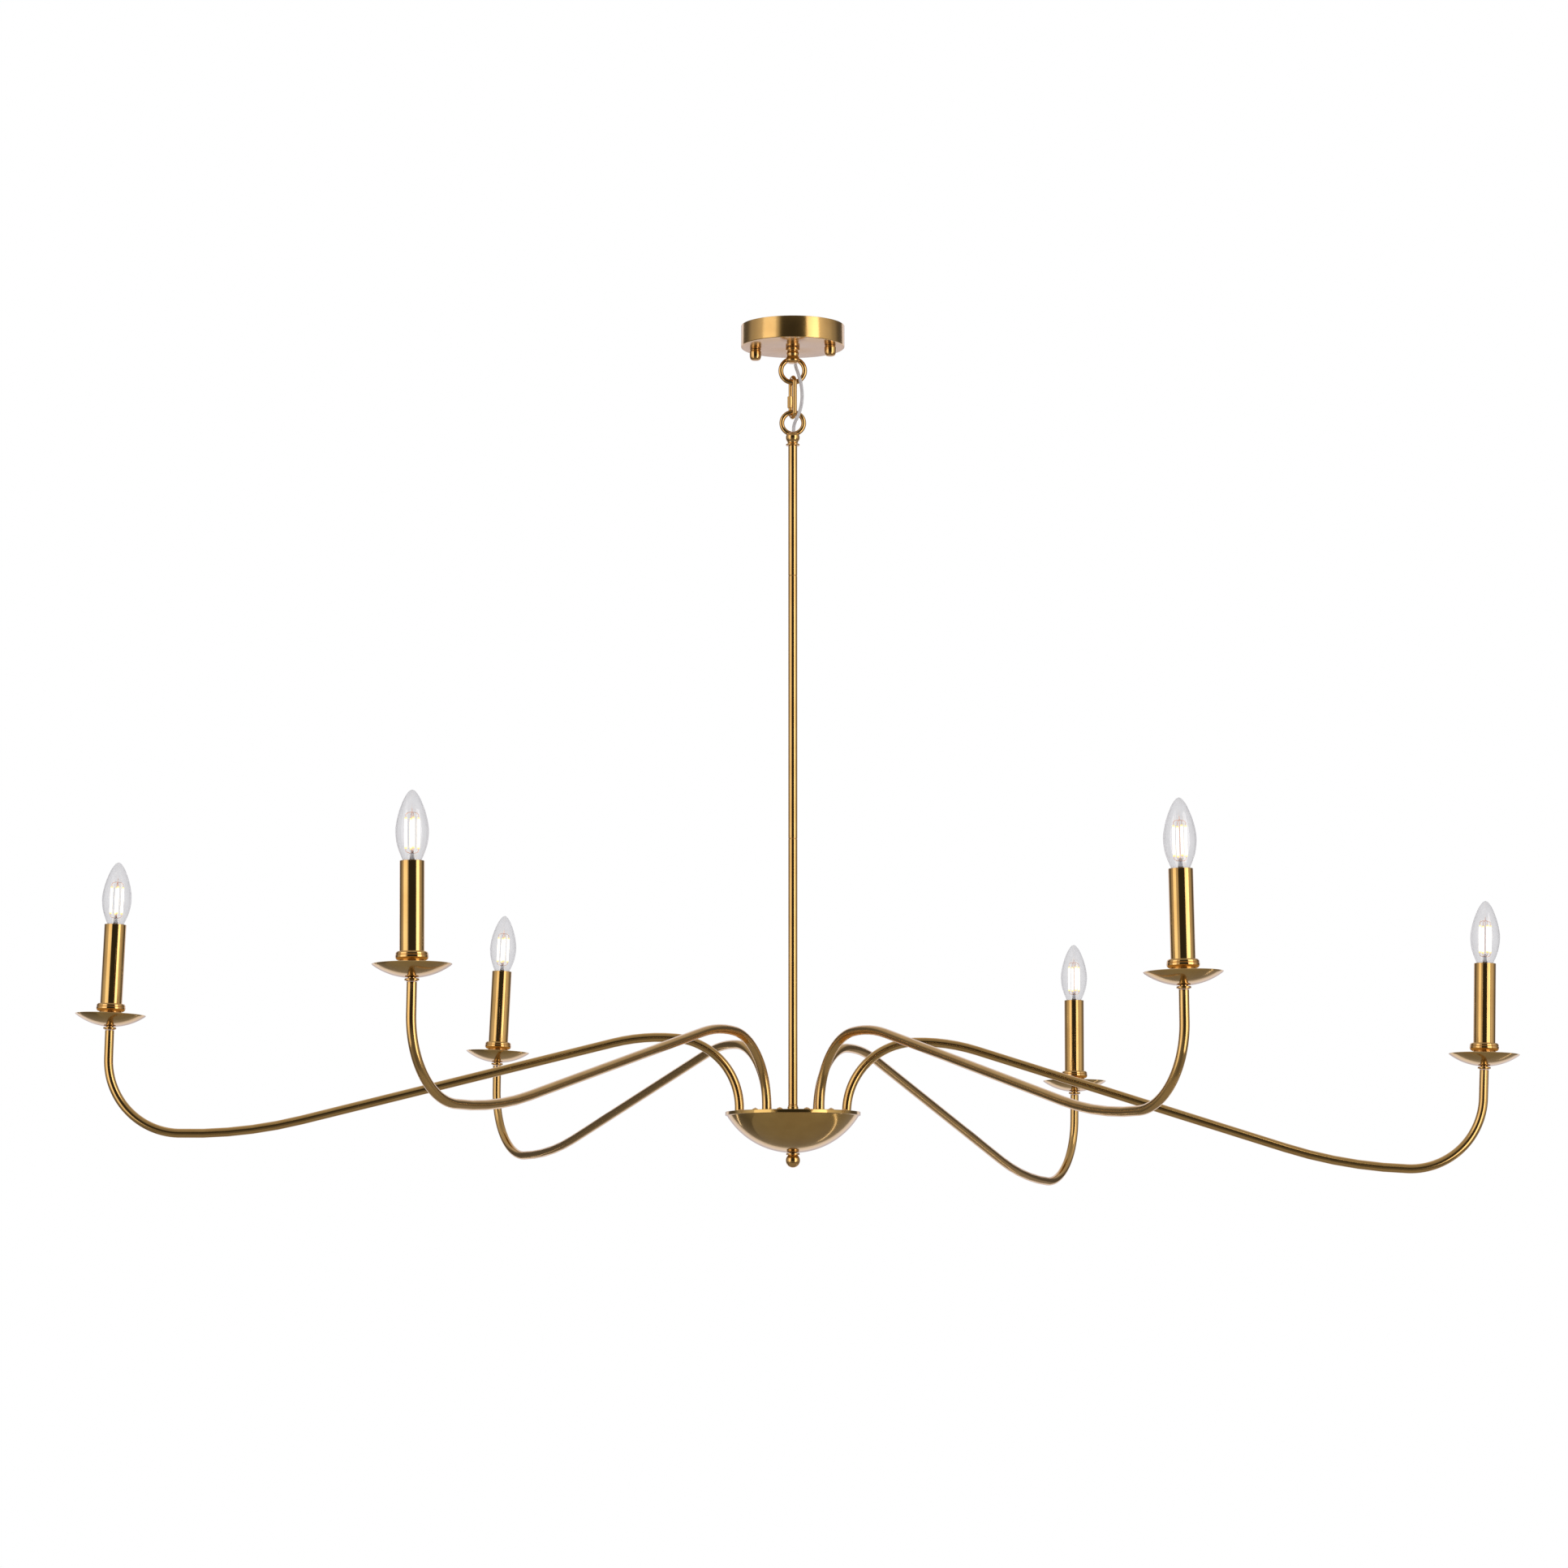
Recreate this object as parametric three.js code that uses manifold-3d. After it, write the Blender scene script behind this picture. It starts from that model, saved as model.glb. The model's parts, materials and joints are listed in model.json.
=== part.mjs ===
// A six-arm candle chandelier, hung from a ceiling canopy by two rings, a screw link and a jointed rod.
// Millimetres, +Z up. The origin is the centre of the canopy's open top, in the plane of the ceiling.

import * as THREE from 'three';
import { mergeVertices } from 'three/addons/utils/BufferGeometryUtils.js';
import Module from 'manifold-3d';

const wasm = await Module();
wasm.setup();

// ---------- driving dimensions ----------

const GAP = 0.3; // clearance between touching pieces
const INCH = 25.4;

const CANOPY_RADIUS = 60;
const CANOPY_HEIGHT = 25;
const CANOPY_EDGE = 1.2; // the bevel round the canopy's lower edge
const SHEET = 1.2; // wall of the canopy, the bowl and the drip dishes

const CROSSBAR = { length: 106, width: 20, thickness: 3, turn: -16 };
const SCREW_CIRCLE_RADIUS = 45;
const SCREW_RADIUS = 2;
const CAP_NUT = { radius: 6.8, height: 12.5, domeThickness: 3.5 };

const RING_WIRE_RADIUS = 2.9;
const TOP_RING = { centreZ: -52.4, radius: 13.75 };
const STEM_RING_RADIUS = 12.65;
const LINK = { wireRadius: 2.45, legSpacing: 15, centreLength: 46.5, turn: -71 };
const LINK_OPENING = { fromBow: 8, length: 6.5 }; // along the leg, from the lower bow's centre
const LINK_NUT = { acrossFlats: 6.8, length: 13.5, boreRadius: 2.7 };
const CORD_RADIUS = 1.9;

const ROD_RADIUS = 5.25;
const ROD_BORE = 4.3;
const ROD_TOP_Z = -140.5;
const ROD_LENGTHS = { rod_top: 6 * INCH, rod_middle: 12 * INCH, rod_bottom: 12 * INCH };
const THREAD_RADIUS = 4;
const THREAD_BORE = 2.8;
const SPIGOT_LENGTH = 12; // how far a rod reaches into the next one
const CENTRE_TUBE = { aboveFoot: 17, belowBowl: 6.5 };

const RIM_Z = -910; // plane of the bowl's rim
const PLATE = { radius: 72, thickness: 3, drop: 1.5, bossRadius: 6.2, armClearance: 0.6 };
const BOWL = { rimRadius: 77, lipHeight: 4.5, lipWidth: 3.4, shellRadius: 75, sphereRadius: 88 };
const FINIAL = { ballRadius: 8.2, collarRadius: 7.75, collarHeight: 2, boreDepth: 7.5 };

const ARM_RADIUS = 5.25;
const ARM_CIRCLE_RADIUS = 61;
const ARM_FOOT_DEPTH = 8.5; // how far the foot reaches below the rim plane
const ARM_BENDS = [
  { straight: 11.5 },
  { radius: 80, turn: -86 },
  { radius: 217, turn: -19 },
  { straight: 366 },
  { radius: 525, turn: 15.5 },
  { radius: 84, turn: 89.5 },
  { straight: 32 },
];
// How each arm is set on the hub, in degrees: its bearing, how far its outer end is lifted,
// and how far its candle leans towards +X.
const ARM_SETTINGS = [
  { bearing: -0.3, lift: -2.5, lean: 1.4 },
  { bearing: 62.4, lift: -1.9, lean: 0.1 },
  { bearing: 118.8, lift: 1.0, lean: 2.6 },
  { bearing: 178.3, lift: 1.2, lean: 2.2 },
  { bearing: 240.7, lift: 1.4, lean: -0.4 },
  { bearing: 299.7, lift: 0.8, lean: -1.0 },
];

// Heights along a candle, from the end of its arm.
const COLLAR = { bottom: 0.5, top: 3.8, radius: 7.5, studTop: 34 };
const DISH = { radius: 40.5, bottom: 4.1, rim: 17.6 };
const CUP = { foot: 6.4, floor: 22, top: 30.3, radius: 16.75 };
const SLEEVE = { top: 121.4, radius: 12.5, wall: 0.8 };
const SOCKET = { bodyBottom: 70, bodyTop: 112, radius: 10.2, bore: 7.4, boreBottom: 90, stemRadius: 6 };
const BULB = { baseBottom: 93, baseTop: 116.5, baseRadius: 5.9, tip: 193.1 };
// The glass, as heights above the sleeve and radii.
const BULB_OUTLINE = [
  [0, 9],
  [9.3, 13.2],
  [20.7, 16.4],
  [31, 17.2],
  [44.5, 15.2],
  [56.5, 11.4],
  [65.3, 7.4],
  [71, 3.6],
];

// ---------- materials ----------

const metal = (color, roughness) => new THREE.MeshStandardMaterial({ color, roughness, metalness: 1 });
const satinBrass = metal(0xb58a46, 0.32);
const polishedBrass = metal(0xc8964a, 0.16);
const zincSteel = metal(0xb9bcc0, 0.4);
const socketPlastic = new THREE.MeshStandardMaterial({ color: 0xe9e6dc, roughness: 0.5 });
const glassFinish = { color: 0xf2f2f0, roughness: 0.05, transparent: true, opacity: 0.35 };
const clearGlass = new THREE.MeshStandardMaterial(glassFinish);
const clearCord = new THREE.MeshStandardMaterial({ color: 0xd9d9de, roughness: 0.3 });

// ---------- shape helpers ----------

const radians = THREE.MathUtils.degToRad;

// A solid of revolution about Z. The outline is a list of [radius, z], anticlockwise, and it starts
// and ends on the axis or is closed here.
function turned(outline, segments) {
  const points = outline.map(([radius, z]) => new THREE.Vector2(radius, z));
  const onAxis = points[0].x === 0 && points.at(-1).x === 0;
  if (!onAxis) points.push(points[0].clone());
  return new THREE.LatheGeometry(points, segments).rotateX(Math.PI / 2);
}

// Points [radius, z] along a circle's arc, centred on the axis, by angle from the horizontal.
function arcOutline(centreZ, radius, fromDegrees, toDegrees, steps) {
  return Array.from({ length: steps + 1 }, (_, i) => {
    const angle = radians(fromDegrees + ((toDegrees - fromDegrees) * i) / steps);
    return [radius * Math.cos(angle), centreZ + radius * Math.sin(angle)];
  });
}

// A centreline in the XZ plane made of straights and arcs, as a tube bender makes them.
// A positive turn is anticlockwise, with +X to the right and +Z up.
class BentCentreline extends THREE.Curve {
  constructor(start, heading, bends) {
    super();
    this.start = start;
    this.heading = radians(heading);
    this.runs = bends.map(({ straight, radius, turn }) =>
      straight
        ? { length: straight, curvature: 0 }
        : { length: radius * radians(Math.abs(turn)), curvature: Math.sign(turn) / radius },
    );
    this.total = this.runs.reduce((sum, run) => sum + run.length, 0);
  }

  getPoint(t, target = new THREE.Vector3()) {
    let left = t * this.total;
    let heading = this.heading;
    target.copy(this.start);
    for (const { length, curvature } of this.runs) {
      const run = Math.min(left, length);
      if (curvature === 0) {
        target.x += run * Math.cos(heading);
        target.z += run * Math.sin(heading);
      } else {
        const next = heading + curvature * run;
        target.x += (Math.sin(next) - Math.sin(heading)) / curvature;
        target.z += (Math.cos(heading) - Math.cos(next)) / curvature;
        heading = next;
      }
      left -= run;
    }
    return target;
  }
}

// A round bar swept along a curve.
function bar(curve, radius, sides, steps) {
  const section = new THREE.Shape();
  for (let i = 0; i < sides; i += 1) {
    const angle = (2 * Math.PI * i) / sides;
    const x = radius * Math.cos(angle);
    const y = radius * Math.sin(angle);
    if (i === 0) section.moveTo(x, y);
    else section.lineTo(x, y);
  }
  section.closePath();
  return new THREE.ExtrudeGeometry(section, { steps, bevelEnabled: false, extrudePath: curve });
}

// A cylinder along Z between two heights.
function pin(x, y, radius, bottom, top, segments = 16) {
  return new THREE.CylinderGeometry(radius, radius, top - bottom, segments)
    .rotateX(Math.PI / 2)
    .translate(x, y, (top + bottom) / 2);
}

function solid(geometry) {
  const bare = geometry.clone();
  bare.deleteAttribute('normal');
  bare.deleteAttribute('uv');
  const merged = mergeVertices(bare, 1e-4);
  const vertProperties = new Float32Array(merged.attributes.position.array);
  const triVerts = new Uint32Array(merged.index.array);
  return new wasm.Manifold(new wasm.Mesh({ numProp: 3, vertProperties, triVerts }));
}

function geometryOf(body) {
  const { vertProperties, triVerts } = body.getMesh();
  const geometry = new THREE.BufferGeometry();
  geometry.setAttribute('position', new THREE.BufferAttribute(vertProperties, 3));
  geometry.setIndex(new THREE.BufferAttribute(triVerts, 1));
  geometry.computeVertexNormals();
  return geometry;
}

const joined = (a, b) => geometryOf(solid(a).add(solid(b)));
const cut = (body, tools) =>
  geometryOf(tools.reduce((left, tool) => left.subtract(solid(tool)), solid(body)));

// ---------- canopy and its bracket ----------

// The two canopy screws, on a line turned with the crossbar.
const screwPlaces = [0, 180].map((side) => {
  const angle = radians(CROSSBAR.turn + side);
  return { x: SCREW_CIRCLE_RADIUS * Math.cos(angle), y: SCREW_CIRCLE_RADIUS * Math.sin(angle) };
});
const canopyFloor = -CANOPY_HEIGHT + SHEET;

function canopyCup() {
  const innerRadius = CANOPY_RADIUS - SHEET;
  const cup = turned(
    [
      [THREAD_RADIUS + GAP, -CANOPY_HEIGHT],
      [CANOPY_RADIUS - CANOPY_EDGE, -CANOPY_HEIGHT],
      [CANOPY_RADIUS, -CANOPY_HEIGHT + CANOPY_EDGE],
      [CANOPY_RADIUS, 0],
      [innerRadius, 0],
      [innerRadius, canopyFloor],
      [THREAD_RADIUS + GAP, canopyFloor],
    ],
    28,
  );
  const holes = screwPlaces.map(({ x, y }) =>
    pin(x, y, SCREW_RADIUS + GAP, -CANOPY_HEIGHT - 1, canopyFloor + 1, 12),
  );
  return cut(cup, holes);
}

// The flat steel bar that the ceiling box holds: a centre hole for the loop's stud, two holes for
// the canopy screws and two slots for the box's own screws.
function crossbar() {
  const { length, width, thickness, turn } = CROSSBAR;
  const slot = { start: 24, end: 36, halfWidth: 2.5 };
  const round = width / 2;
  const plate = new THREE.Shape();
  plate.absarc(length / 2 - round, 0, round, -Math.PI / 2, Math.PI / 2);
  plate.absarc(-length / 2 + round, 0, round, Math.PI / 2, (3 * Math.PI) / 2);
  const circle = (x, radius) => new THREE.Path().absarc(x, 0, radius, 0, 2 * Math.PI, true);
  plate.holes.push(circle(0, THREAD_RADIUS + GAP));
  for (const side of [-1, 1]) {
    plate.holes.push(circle(side * SCREW_CIRCLE_RADIUS, SCREW_RADIUS + GAP));
    const low = Math.min(side * slot.start, side * slot.end);
    const high = Math.max(side * slot.start, side * slot.end);
    const opening = new THREE.Path();
    opening.absarc(low, 0, slot.halfWidth, -Math.PI / 2, Math.PI / 2, true);
    opening.absarc(high, 0, slot.halfWidth, Math.PI / 2, -Math.PI / 2, true);
    plate.holes.push(opening);
  }
  return new THREE.ExtrudeGeometry(plate, { depth: thickness, bevelEnabled: false, curveSegments: 6 })
    .translate(0, 0, -thickness)
    .rotateZ(radians(turn));
}

function bracketScrew({ x, y }) {
  const reach = CAP_NUT.height - CAP_NUT.domeThickness - 1;
  return pin(x, y, SCREW_RADIUS, -CANOPY_HEIGHT - reach, -GAP, 10);
}

// A domed nut, screwed up against the canopy's underside.
function capNut({ x, y }) {
  const { radius, height, domeThickness } = CAP_NUT;
  const bore = SCREW_RADIUS + GAP;
  const boreEnd = -height + domeThickness;
  return turned(
    [
      [0, -height],
      [radius * 0.55, -height + 0.2],
      [radius * 0.88, -height + 1.6],
      [radius, -height + 4],
      [radius, 0],
      [bore, 0],
      [bore, boreEnd],
      [0, boreEnd],
    ],
    16,
  ).translate(x, y, -CANOPY_HEIGHT - GAP);
}

// ---------- rings and link ----------

const wireSpacing = RING_WIRE_RADIUS + LINK.wireRadius + GAP;
const topRingLow = TOP_RING.centreZ - TOP_RING.radius;
const linkHighZ = topRingLow + wireSpacing;
const linkLowZ = linkHighZ - LINK.centreLength;
const stemRingZ = linkLowZ + wireSpacing - STEM_RING_RADIUS;

const ring = (radius, centreZ) =>
  new THREE.TorusGeometry(radius, RING_WIRE_RADIUS, 8, 20).rotateX(Math.PI / 2).translate(0, 0, centreZ);

// The loop under the canopy: a threaded stud, a turned neck and a ring in one piece.
function hangLoop() {
  const neckTop = -CANOPY_HEIGHT - GAP;
  const neck = turned(
    [
      [0, -44],
      [5.5, -43.6],
      [8, -42],
      [8.8, -40],
      [6.9, -35.5],
      [7.2, -32.5],
      [6.6, -29.2],
      [8.2, -28],
      [8.2, neckTop],
      [THREAD_RADIUS, neckTop],
      [THREAD_RADIUS, -GAP],
      [0, -GAP],
    ],
    12,
  );
  return joined(neck, ring(TOP_RING.radius, TOP_RING.centreZ));
}

// A wire link whose one leg is open, and closed by a nut that screws along it.
function quickLink() {
  const half = LINK.legSpacing / 2;
  const leg = LINK.centreLength - LINK.legSpacing;
  const openingTop = LINK_OPENING.fromBow + LINK_OPENING.length;
  const start = new THREE.Vector3(-half, 0, linkLowZ + half + openingTop);
  const wire = new BentCentreline(start, 90, [
    { straight: leg - openingTop },
    { radius: half, turn: -180 },
    { straight: leg },
    { radius: half, turn: -180 },
    { straight: LINK_OPENING.fromBow },
  ]);
  return bar(wire, LINK.wireRadius, 8, 26).rotateZ(radians(LINK.turn));
}

function linkNut() {
  const { acrossFlats, length, boreRadius } = LINK_NUT;
  const corner = acrossFlats / 2 / Math.cos(Math.PI / 6);
  const overlap = (length - LINK_OPENING.length) / 2;
  const bottom = linkLowZ + LINK.legSpacing / 2 + LINK_OPENING.fromBow - overlap;
  const hexagon = new THREE.CylinderGeometry(corner, corner, length, 6).rotateX(Math.PI / 2);
  return cut(hexagon, [pin(0, 0, boreRadius, -length, length, 12)])
    .translate(-LINK.legSpacing / 2, 0, bottom + length / 2)
    .rotateZ(radians(LINK.turn));
}

// The loop on the rod: a ring, a ball, a flared foot and a threaded stud in one piece.
function stemLoop() {
  const foot = ROD_TOP_Z + GAP / 2;
  const ballZ = -131;
  const neck = turned(
    [
      [0, foot - 14],
      [THREAD_RADIUS, foot - 14],
      [THREAD_RADIUS, foot],
      [7.9, foot],
      [8.1, foot + 0.9],
      [6.1, -137.2],
      [7.4, ballZ - 3.4],
      [8.1, ballZ],
      [7.4, ballZ + 3.4],
      [5, ballZ + 5.6],
      [0, ballZ + 6.3],
    ],
    12,
  );
  return joined(neck, ring(STEM_RING_RADIUS, stemRingZ));
}

// The clear cord from the upper loop's neck, past the link, into the ball of the lower loop.
function supplyCord() {
  const route = new THREE.CatmullRomCurve3([
    new THREE.Vector3(3.2, -0.4, -44.9),
    new THREE.Vector3(3.9, -1.4, -49),
    new THREE.Vector3(6.3, -5.6, -57),
    new THREE.Vector3(9.6, -7.9, -70),
    new THREE.Vector3(10.8, -7.8, -84),
    new THREE.Vector3(9.4, -7.9, -96.5),
    new THREE.Vector3(6.2, -8.2, -106.5),
    new THREE.Vector3(1.8, -4.2, -116),
    new THREE.Vector3(0.8, -1.6, -123.8),
  ]);
  return bar(route, CORD_RADIUS, 8, 22);
}

// ---------- rod and hub ----------

// One length of rod. All but the lowest have a threaded spigot that screws into the next one.
function rod(top, length, hasSpigot) {
  const high = top - GAP / 2;
  const low = top - length + GAP / 2;
  const lowerEnd = hasSpigot
    ? [
        [THREAD_BORE, low - SPIGOT_LENGTH],
        [THREAD_RADIUS, low - SPIGOT_LENGTH],
        [THREAD_RADIUS, low],
      ]
    : [[ROD_BORE, low]];
  const upperBore = hasSpigot ? [[ROD_BORE, low + 3], [THREAD_BORE, low + 2]] : [];
  return turned([...lowerEnd, [ROD_RADIUS, low], [ROD_RADIUS, high], [ROD_BORE, high], ...upperBore], 16);
}

const rodFootZ = ROD_TOP_Z - Object.values(ROD_LENGTHS).reduce((sum, length) => sum + length, 0);
const plateTop = RIM_Z - PLATE.drop;
const plateBottom = plateTop - PLATE.thickness;
const lipBottom = RIM_Z - BOWL.lipHeight;
const sphereZ = lipBottom + Math.sqrt(BOWL.sphereRadius ** 2 - BOWL.shellRadius ** 2);
const bowlBottom = sphereZ - BOWL.sphereRadius;

// The disc that carries the arms, with a hole for each foot and a boss under the rod.
function hubPlate() {
  const bore = THREAD_RADIUS + GAP;
  const disc = turned(
    [
      [bore, plateBottom],
      [PLATE.radius, plateBottom],
      [PLATE.radius, plateTop],
      [PLATE.bossRadius, plateTop],
      [PLATE.bossRadius, rodFootZ],
      [bore, rodFootZ],
    ],
    28,
  );
  const holes = ARM_SETTINGS.map(({ bearing }) => {
    const angle = radians(bearing);
    const x = ARM_CIRCLE_RADIUS * Math.cos(angle);
    const y = ARM_CIRCLE_RADIUS * Math.sin(angle);
    return pin(x, y, ARM_RADIUS + PLATE.armClearance, plateBottom - 1, plateTop + 1, 10);
  });
  return cut(disc, holes);
}

// The spun bowl that covers the hub from below.
function hubBowl() {
  const outerRadius = BOWL.sphereRadius;
  const innerRadius = outerRadius - SHEET;
  const hole = THREAD_RADIUS + GAP;
  const angleAt = (sphere, radius) => -THREE.MathUtils.radToDeg(Math.acos(radius / sphere));
  const shellEdge = angleAt(outerRadius, BOWL.shellRadius);
  const lipInner = BOWL.rimRadius - BOWL.lipWidth;
  return turned(
    [
      ...arcOutline(sphereZ, outerRadius, angleAt(outerRadius, hole), shellEdge, 5),
      [BOWL.rimRadius, lipBottom + 0.8],
      [BOWL.rimRadius, RIM_Z],
      [lipInner, RIM_Z],
      ...arcOutline(sphereZ, innerRadius, angleAt(innerRadius, lipInner), angleAt(innerRadius, hole), 5),
    ],
    28,
  );
}

// The threaded tube from the rod's foot down through the plate and the bowl.
function centreTube() {
  const top = rodFootZ + CENTRE_TUBE.aboveFoot;
  const bottom = bowlBottom - CENTRE_TUBE.belowBowl;
  return turned(
    [
      [THREAD_BORE, bottom],
      [THREAD_RADIUS, bottom],
      [THREAD_RADIUS, top],
      [THREAD_BORE, top],
    ],
    12,
  );
}

// The ball nut that holds the bowl up.
function finial() {
  const { ballRadius, collarRadius, collarHeight } = FINIAL;
  const top = bowlBottom - GAP;
  const collarBottom = top - collarHeight;
  const ballZ = top - ballRadius;
  const bore = THREAD_RADIUS + GAP;
  const boreEnd = bowlBottom - FINIAL.boreDepth;
  return turned(
    [
      [0, ballZ - ballRadius],
      ...arcOutline(ballZ, ballRadius, -65, 42, 5),
      [collarRadius, collarBottom],
      [collarRadius, top],
      [bore, top],
      [bore, boreEnd],
      [0, boreEnd],
    ],
    12,
  );
}

// ---------- arm and candle, upright, with the end of the arm at the origin ----------

const armCurve = new BentCentreline(new THREE.Vector3(0, 0, -ARM_FOOT_DEPTH), 90, ARM_BENDS);

const armTube = () => bar(armCurve, ARM_RADIUS, 8, 36);

// The flanged nut at the arm's end, with the stud that the candle's pieces stack on.
function armCollar() {
  const { bottom, top, radius, studTop } = COLLAR;
  return turned(
    [
      [0, bottom],
      [radius - 0.8, bottom],
      [radius, (bottom + top) / 2],
      [radius - 0.8, top],
      [THREAD_RADIUS, top],
      [THREAD_RADIUS, studTop],
      [0, studTop],
    ],
    10,
  );
}

function dripDish() {
  const depth = DISH.rim - DISH.bottom;
  const sphere = (DISH.radius ** 2 + depth ** 2) / (2 * depth);
  const centreZ = DISH.bottom + sphere;
  const hole = THREAD_RADIUS + GAP;
  const angleAt = (radius, reach) => -THREE.MathUtils.radToDeg(Math.acos(reach / radius));
  const inner = sphere - SHEET;
  return turned(
    [
      ...arcOutline(centreZ, sphere, angleAt(sphere, hole), angleAt(sphere, DISH.radius), 3),
      ...arcOutline(centreZ, inner, angleAt(inner, DISH.radius - 0.9), angleAt(inner, hole), 3),
    ],
    20,
  );
}

// The turned seat of the candle sleeve.
function candleCup() {
  const hole = THREAD_RADIUS + GAP;
  const { foot, floor, top, radius } = CUP;
  const seat = SLEEVE.radius + GAP;
  return turned(
    [
      [hole, foot],
      [9, foot],
      [13.8, foot + 8],
      [13.8, floor - 1.4],
      [radius, floor + 2],
      [radius, top - 2.4],
      [radius - 1.2, top],
      [seat, top],
      [seat, floor],
      [hole, floor],
    ],
    16,
  );
}

function candleSleeve() {
  const { radius, wall, top } = SLEEVE;
  const bottom = CUP.floor + GAP;
  return turned(
    [
      [radius - wall, bottom],
      [radius, bottom],
      [radius, top],
      [radius - wall, top],
    ],
    16,
  );
}

// The lamp socket and its stem, which stands on the end of the collar's stud inside the sleeve.
function lampSocket() {
  const { bodyBottom, bodyTop, radius, bore, boreBottom, stemRadius } = SOCKET;
  const bottom = COLLAR.studTop + GAP;
  return turned(
    [
      [0, bottom],
      [stemRadius, bottom],
      [stemRadius, bodyBottom],
      [radius, bodyBottom],
      [radius, bodyTop],
      [bore, bodyTop],
      [bore, boreBottom],
      [0, boreBottom],
    ],
    10,
  );
}

function bulb() {
  const { baseBottom, baseTop, baseRadius, tip } = BULB;
  return turned(
    [
      [0, baseBottom],
      [3.2, baseBottom],
      [baseRadius, baseBottom + 3],
      [baseRadius, baseTop],
      ...BULB_OUTLINE.map(([height, radius]) => [radius, SLEEVE.top + height]),
      [0, tip],
    ],
    12,
  );
}

// ---------- the assembly ----------

const chandelier = new THREE.Group();

function place(parent, name, geometry, material) {
  const mesh = new THREE.Mesh(geometry, material);
  mesh.name = name;
  parent.add(mesh);
}

place(chandelier, 'crossbar', crossbar(), zincSteel);
place(chandelier, 'canopy_cup', canopyCup(), satinBrass);
screwPlaces.forEach((spot, index) => {
  place(chandelier, `bracket_screw_${index + 1}`, bracketScrew(spot), zincSteel);
  place(chandelier, `cap_nut_${index + 1}`, capNut(spot), polishedBrass);
});
place(chandelier, 'hang_loop', hangLoop(), polishedBrass);
place(chandelier, 'quick_link', quickLink(), polishedBrass);
place(chandelier, 'link_nut', linkNut(), polishedBrass);
place(chandelier, 'stem_loop', stemLoop(), polishedBrass);
place(chandelier, 'supply_cord', supplyCord(), clearCord);

let rodTop = ROD_TOP_Z;
for (const [name, length] of Object.entries(ROD_LENGTHS)) {
  place(chandelier, name, rod(rodTop, length, name !== 'rod_bottom'), satinBrass);
  rodTop -= length;
}
place(chandelier, 'hub_plate', hubPlate(), satinBrass);
place(chandelier, 'hub_bowl', hubBowl(), satinBrass);
place(chandelier, 'centre_tube', centreTube(), zincSteel);
place(chandelier, 'finial', finial(), polishedBrass);

ARM_SETTINGS.forEach(({ bearing, lift, lean }, index) => {
  const number = index + 1;
  const bearingGroup = new THREE.Group();
  bearingGroup.rotation.z = radians(bearing);
  const armGroup = new THREE.Group();
  armGroup.position.set(ARM_CIRCLE_RADIUS, 0, RIM_Z);
  armGroup.rotation.y = -radians(lift);
  bearingGroup.add(armGroup);
  chandelier.add(bearingGroup);
  place(armGroup, `arm_tube_${number}`, armTube(), satinBrass);

  // The candle stands at the arm's end, nearly upright whatever the arm's lift.
  armGroup.updateWorldMatrix(true, false);
  const candleGroup = new THREE.Group();
  candleGroup.position.copy(armCurve.getPoint(1).applyMatrix4(armGroup.matrixWorld));
  candleGroup.rotation.y = radians(lean);
  chandelier.add(candleGroup);
  place(candleGroup, `arm_collar_${number}`, armCollar(), polishedBrass);
  place(candleGroup, `drip_dish_${number}`, dripDish(), satinBrass);
  place(candleGroup, `candle_cup_${number}`, candleCup(), polishedBrass);
  place(candleGroup, `candle_sleeve_${number}`, candleSleeve(), satinBrass);
  place(candleGroup, `lamp_socket_${number}`, lampSocket(), socketPlastic);
  place(candleGroup, `bulb_${number}`, bulb(), clearGlass);
});

export default chandelier;
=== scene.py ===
# The fine surfaces, finishes, light and camera of a six-arm candle chandelier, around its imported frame.
# Blender's objects are in metres. Sizes and outlines here are in millimetres, and the mesh makers
# convert them. The origin is the centre of the canopy's open top, in the plane of the ceiling.

import json
import math

import bmesh
import bpy
from mathutils import Matrix, Vector


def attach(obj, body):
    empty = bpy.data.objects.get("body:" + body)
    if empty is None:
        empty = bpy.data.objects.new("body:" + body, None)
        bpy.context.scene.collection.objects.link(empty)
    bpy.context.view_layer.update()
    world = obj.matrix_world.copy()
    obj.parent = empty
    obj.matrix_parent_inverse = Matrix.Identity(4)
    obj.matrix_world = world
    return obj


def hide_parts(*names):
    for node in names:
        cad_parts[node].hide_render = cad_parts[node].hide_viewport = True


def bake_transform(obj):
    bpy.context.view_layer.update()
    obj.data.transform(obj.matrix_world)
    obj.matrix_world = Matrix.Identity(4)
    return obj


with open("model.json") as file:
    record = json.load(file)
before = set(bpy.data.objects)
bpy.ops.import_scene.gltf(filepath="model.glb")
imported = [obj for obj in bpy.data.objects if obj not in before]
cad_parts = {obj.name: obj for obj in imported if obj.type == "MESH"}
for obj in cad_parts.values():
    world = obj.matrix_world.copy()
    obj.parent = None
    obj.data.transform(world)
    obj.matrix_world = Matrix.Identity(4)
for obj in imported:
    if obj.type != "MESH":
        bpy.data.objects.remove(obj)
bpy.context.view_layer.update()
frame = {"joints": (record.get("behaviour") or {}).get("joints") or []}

# ---------- sizes ----------

MM = 0.001
GAP = 0.3
BRUSH_MAP = "brush"  # U runs along a piece in metres, V once around it from 0 to 1

CANOPY = {"radius": 60, "height": 25, "sheet": 1.2}
CROSSBAR = {"length": 106, "width": 20, "thickness": 3, "turn": -16}
SCREW_CIRCLE_RADIUS = 45
SCREW_RADIUS = 2
SCREW_PITCH = 0.8
CAP_NUT = {"radius": 6.8, "height": 12.5}

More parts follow.
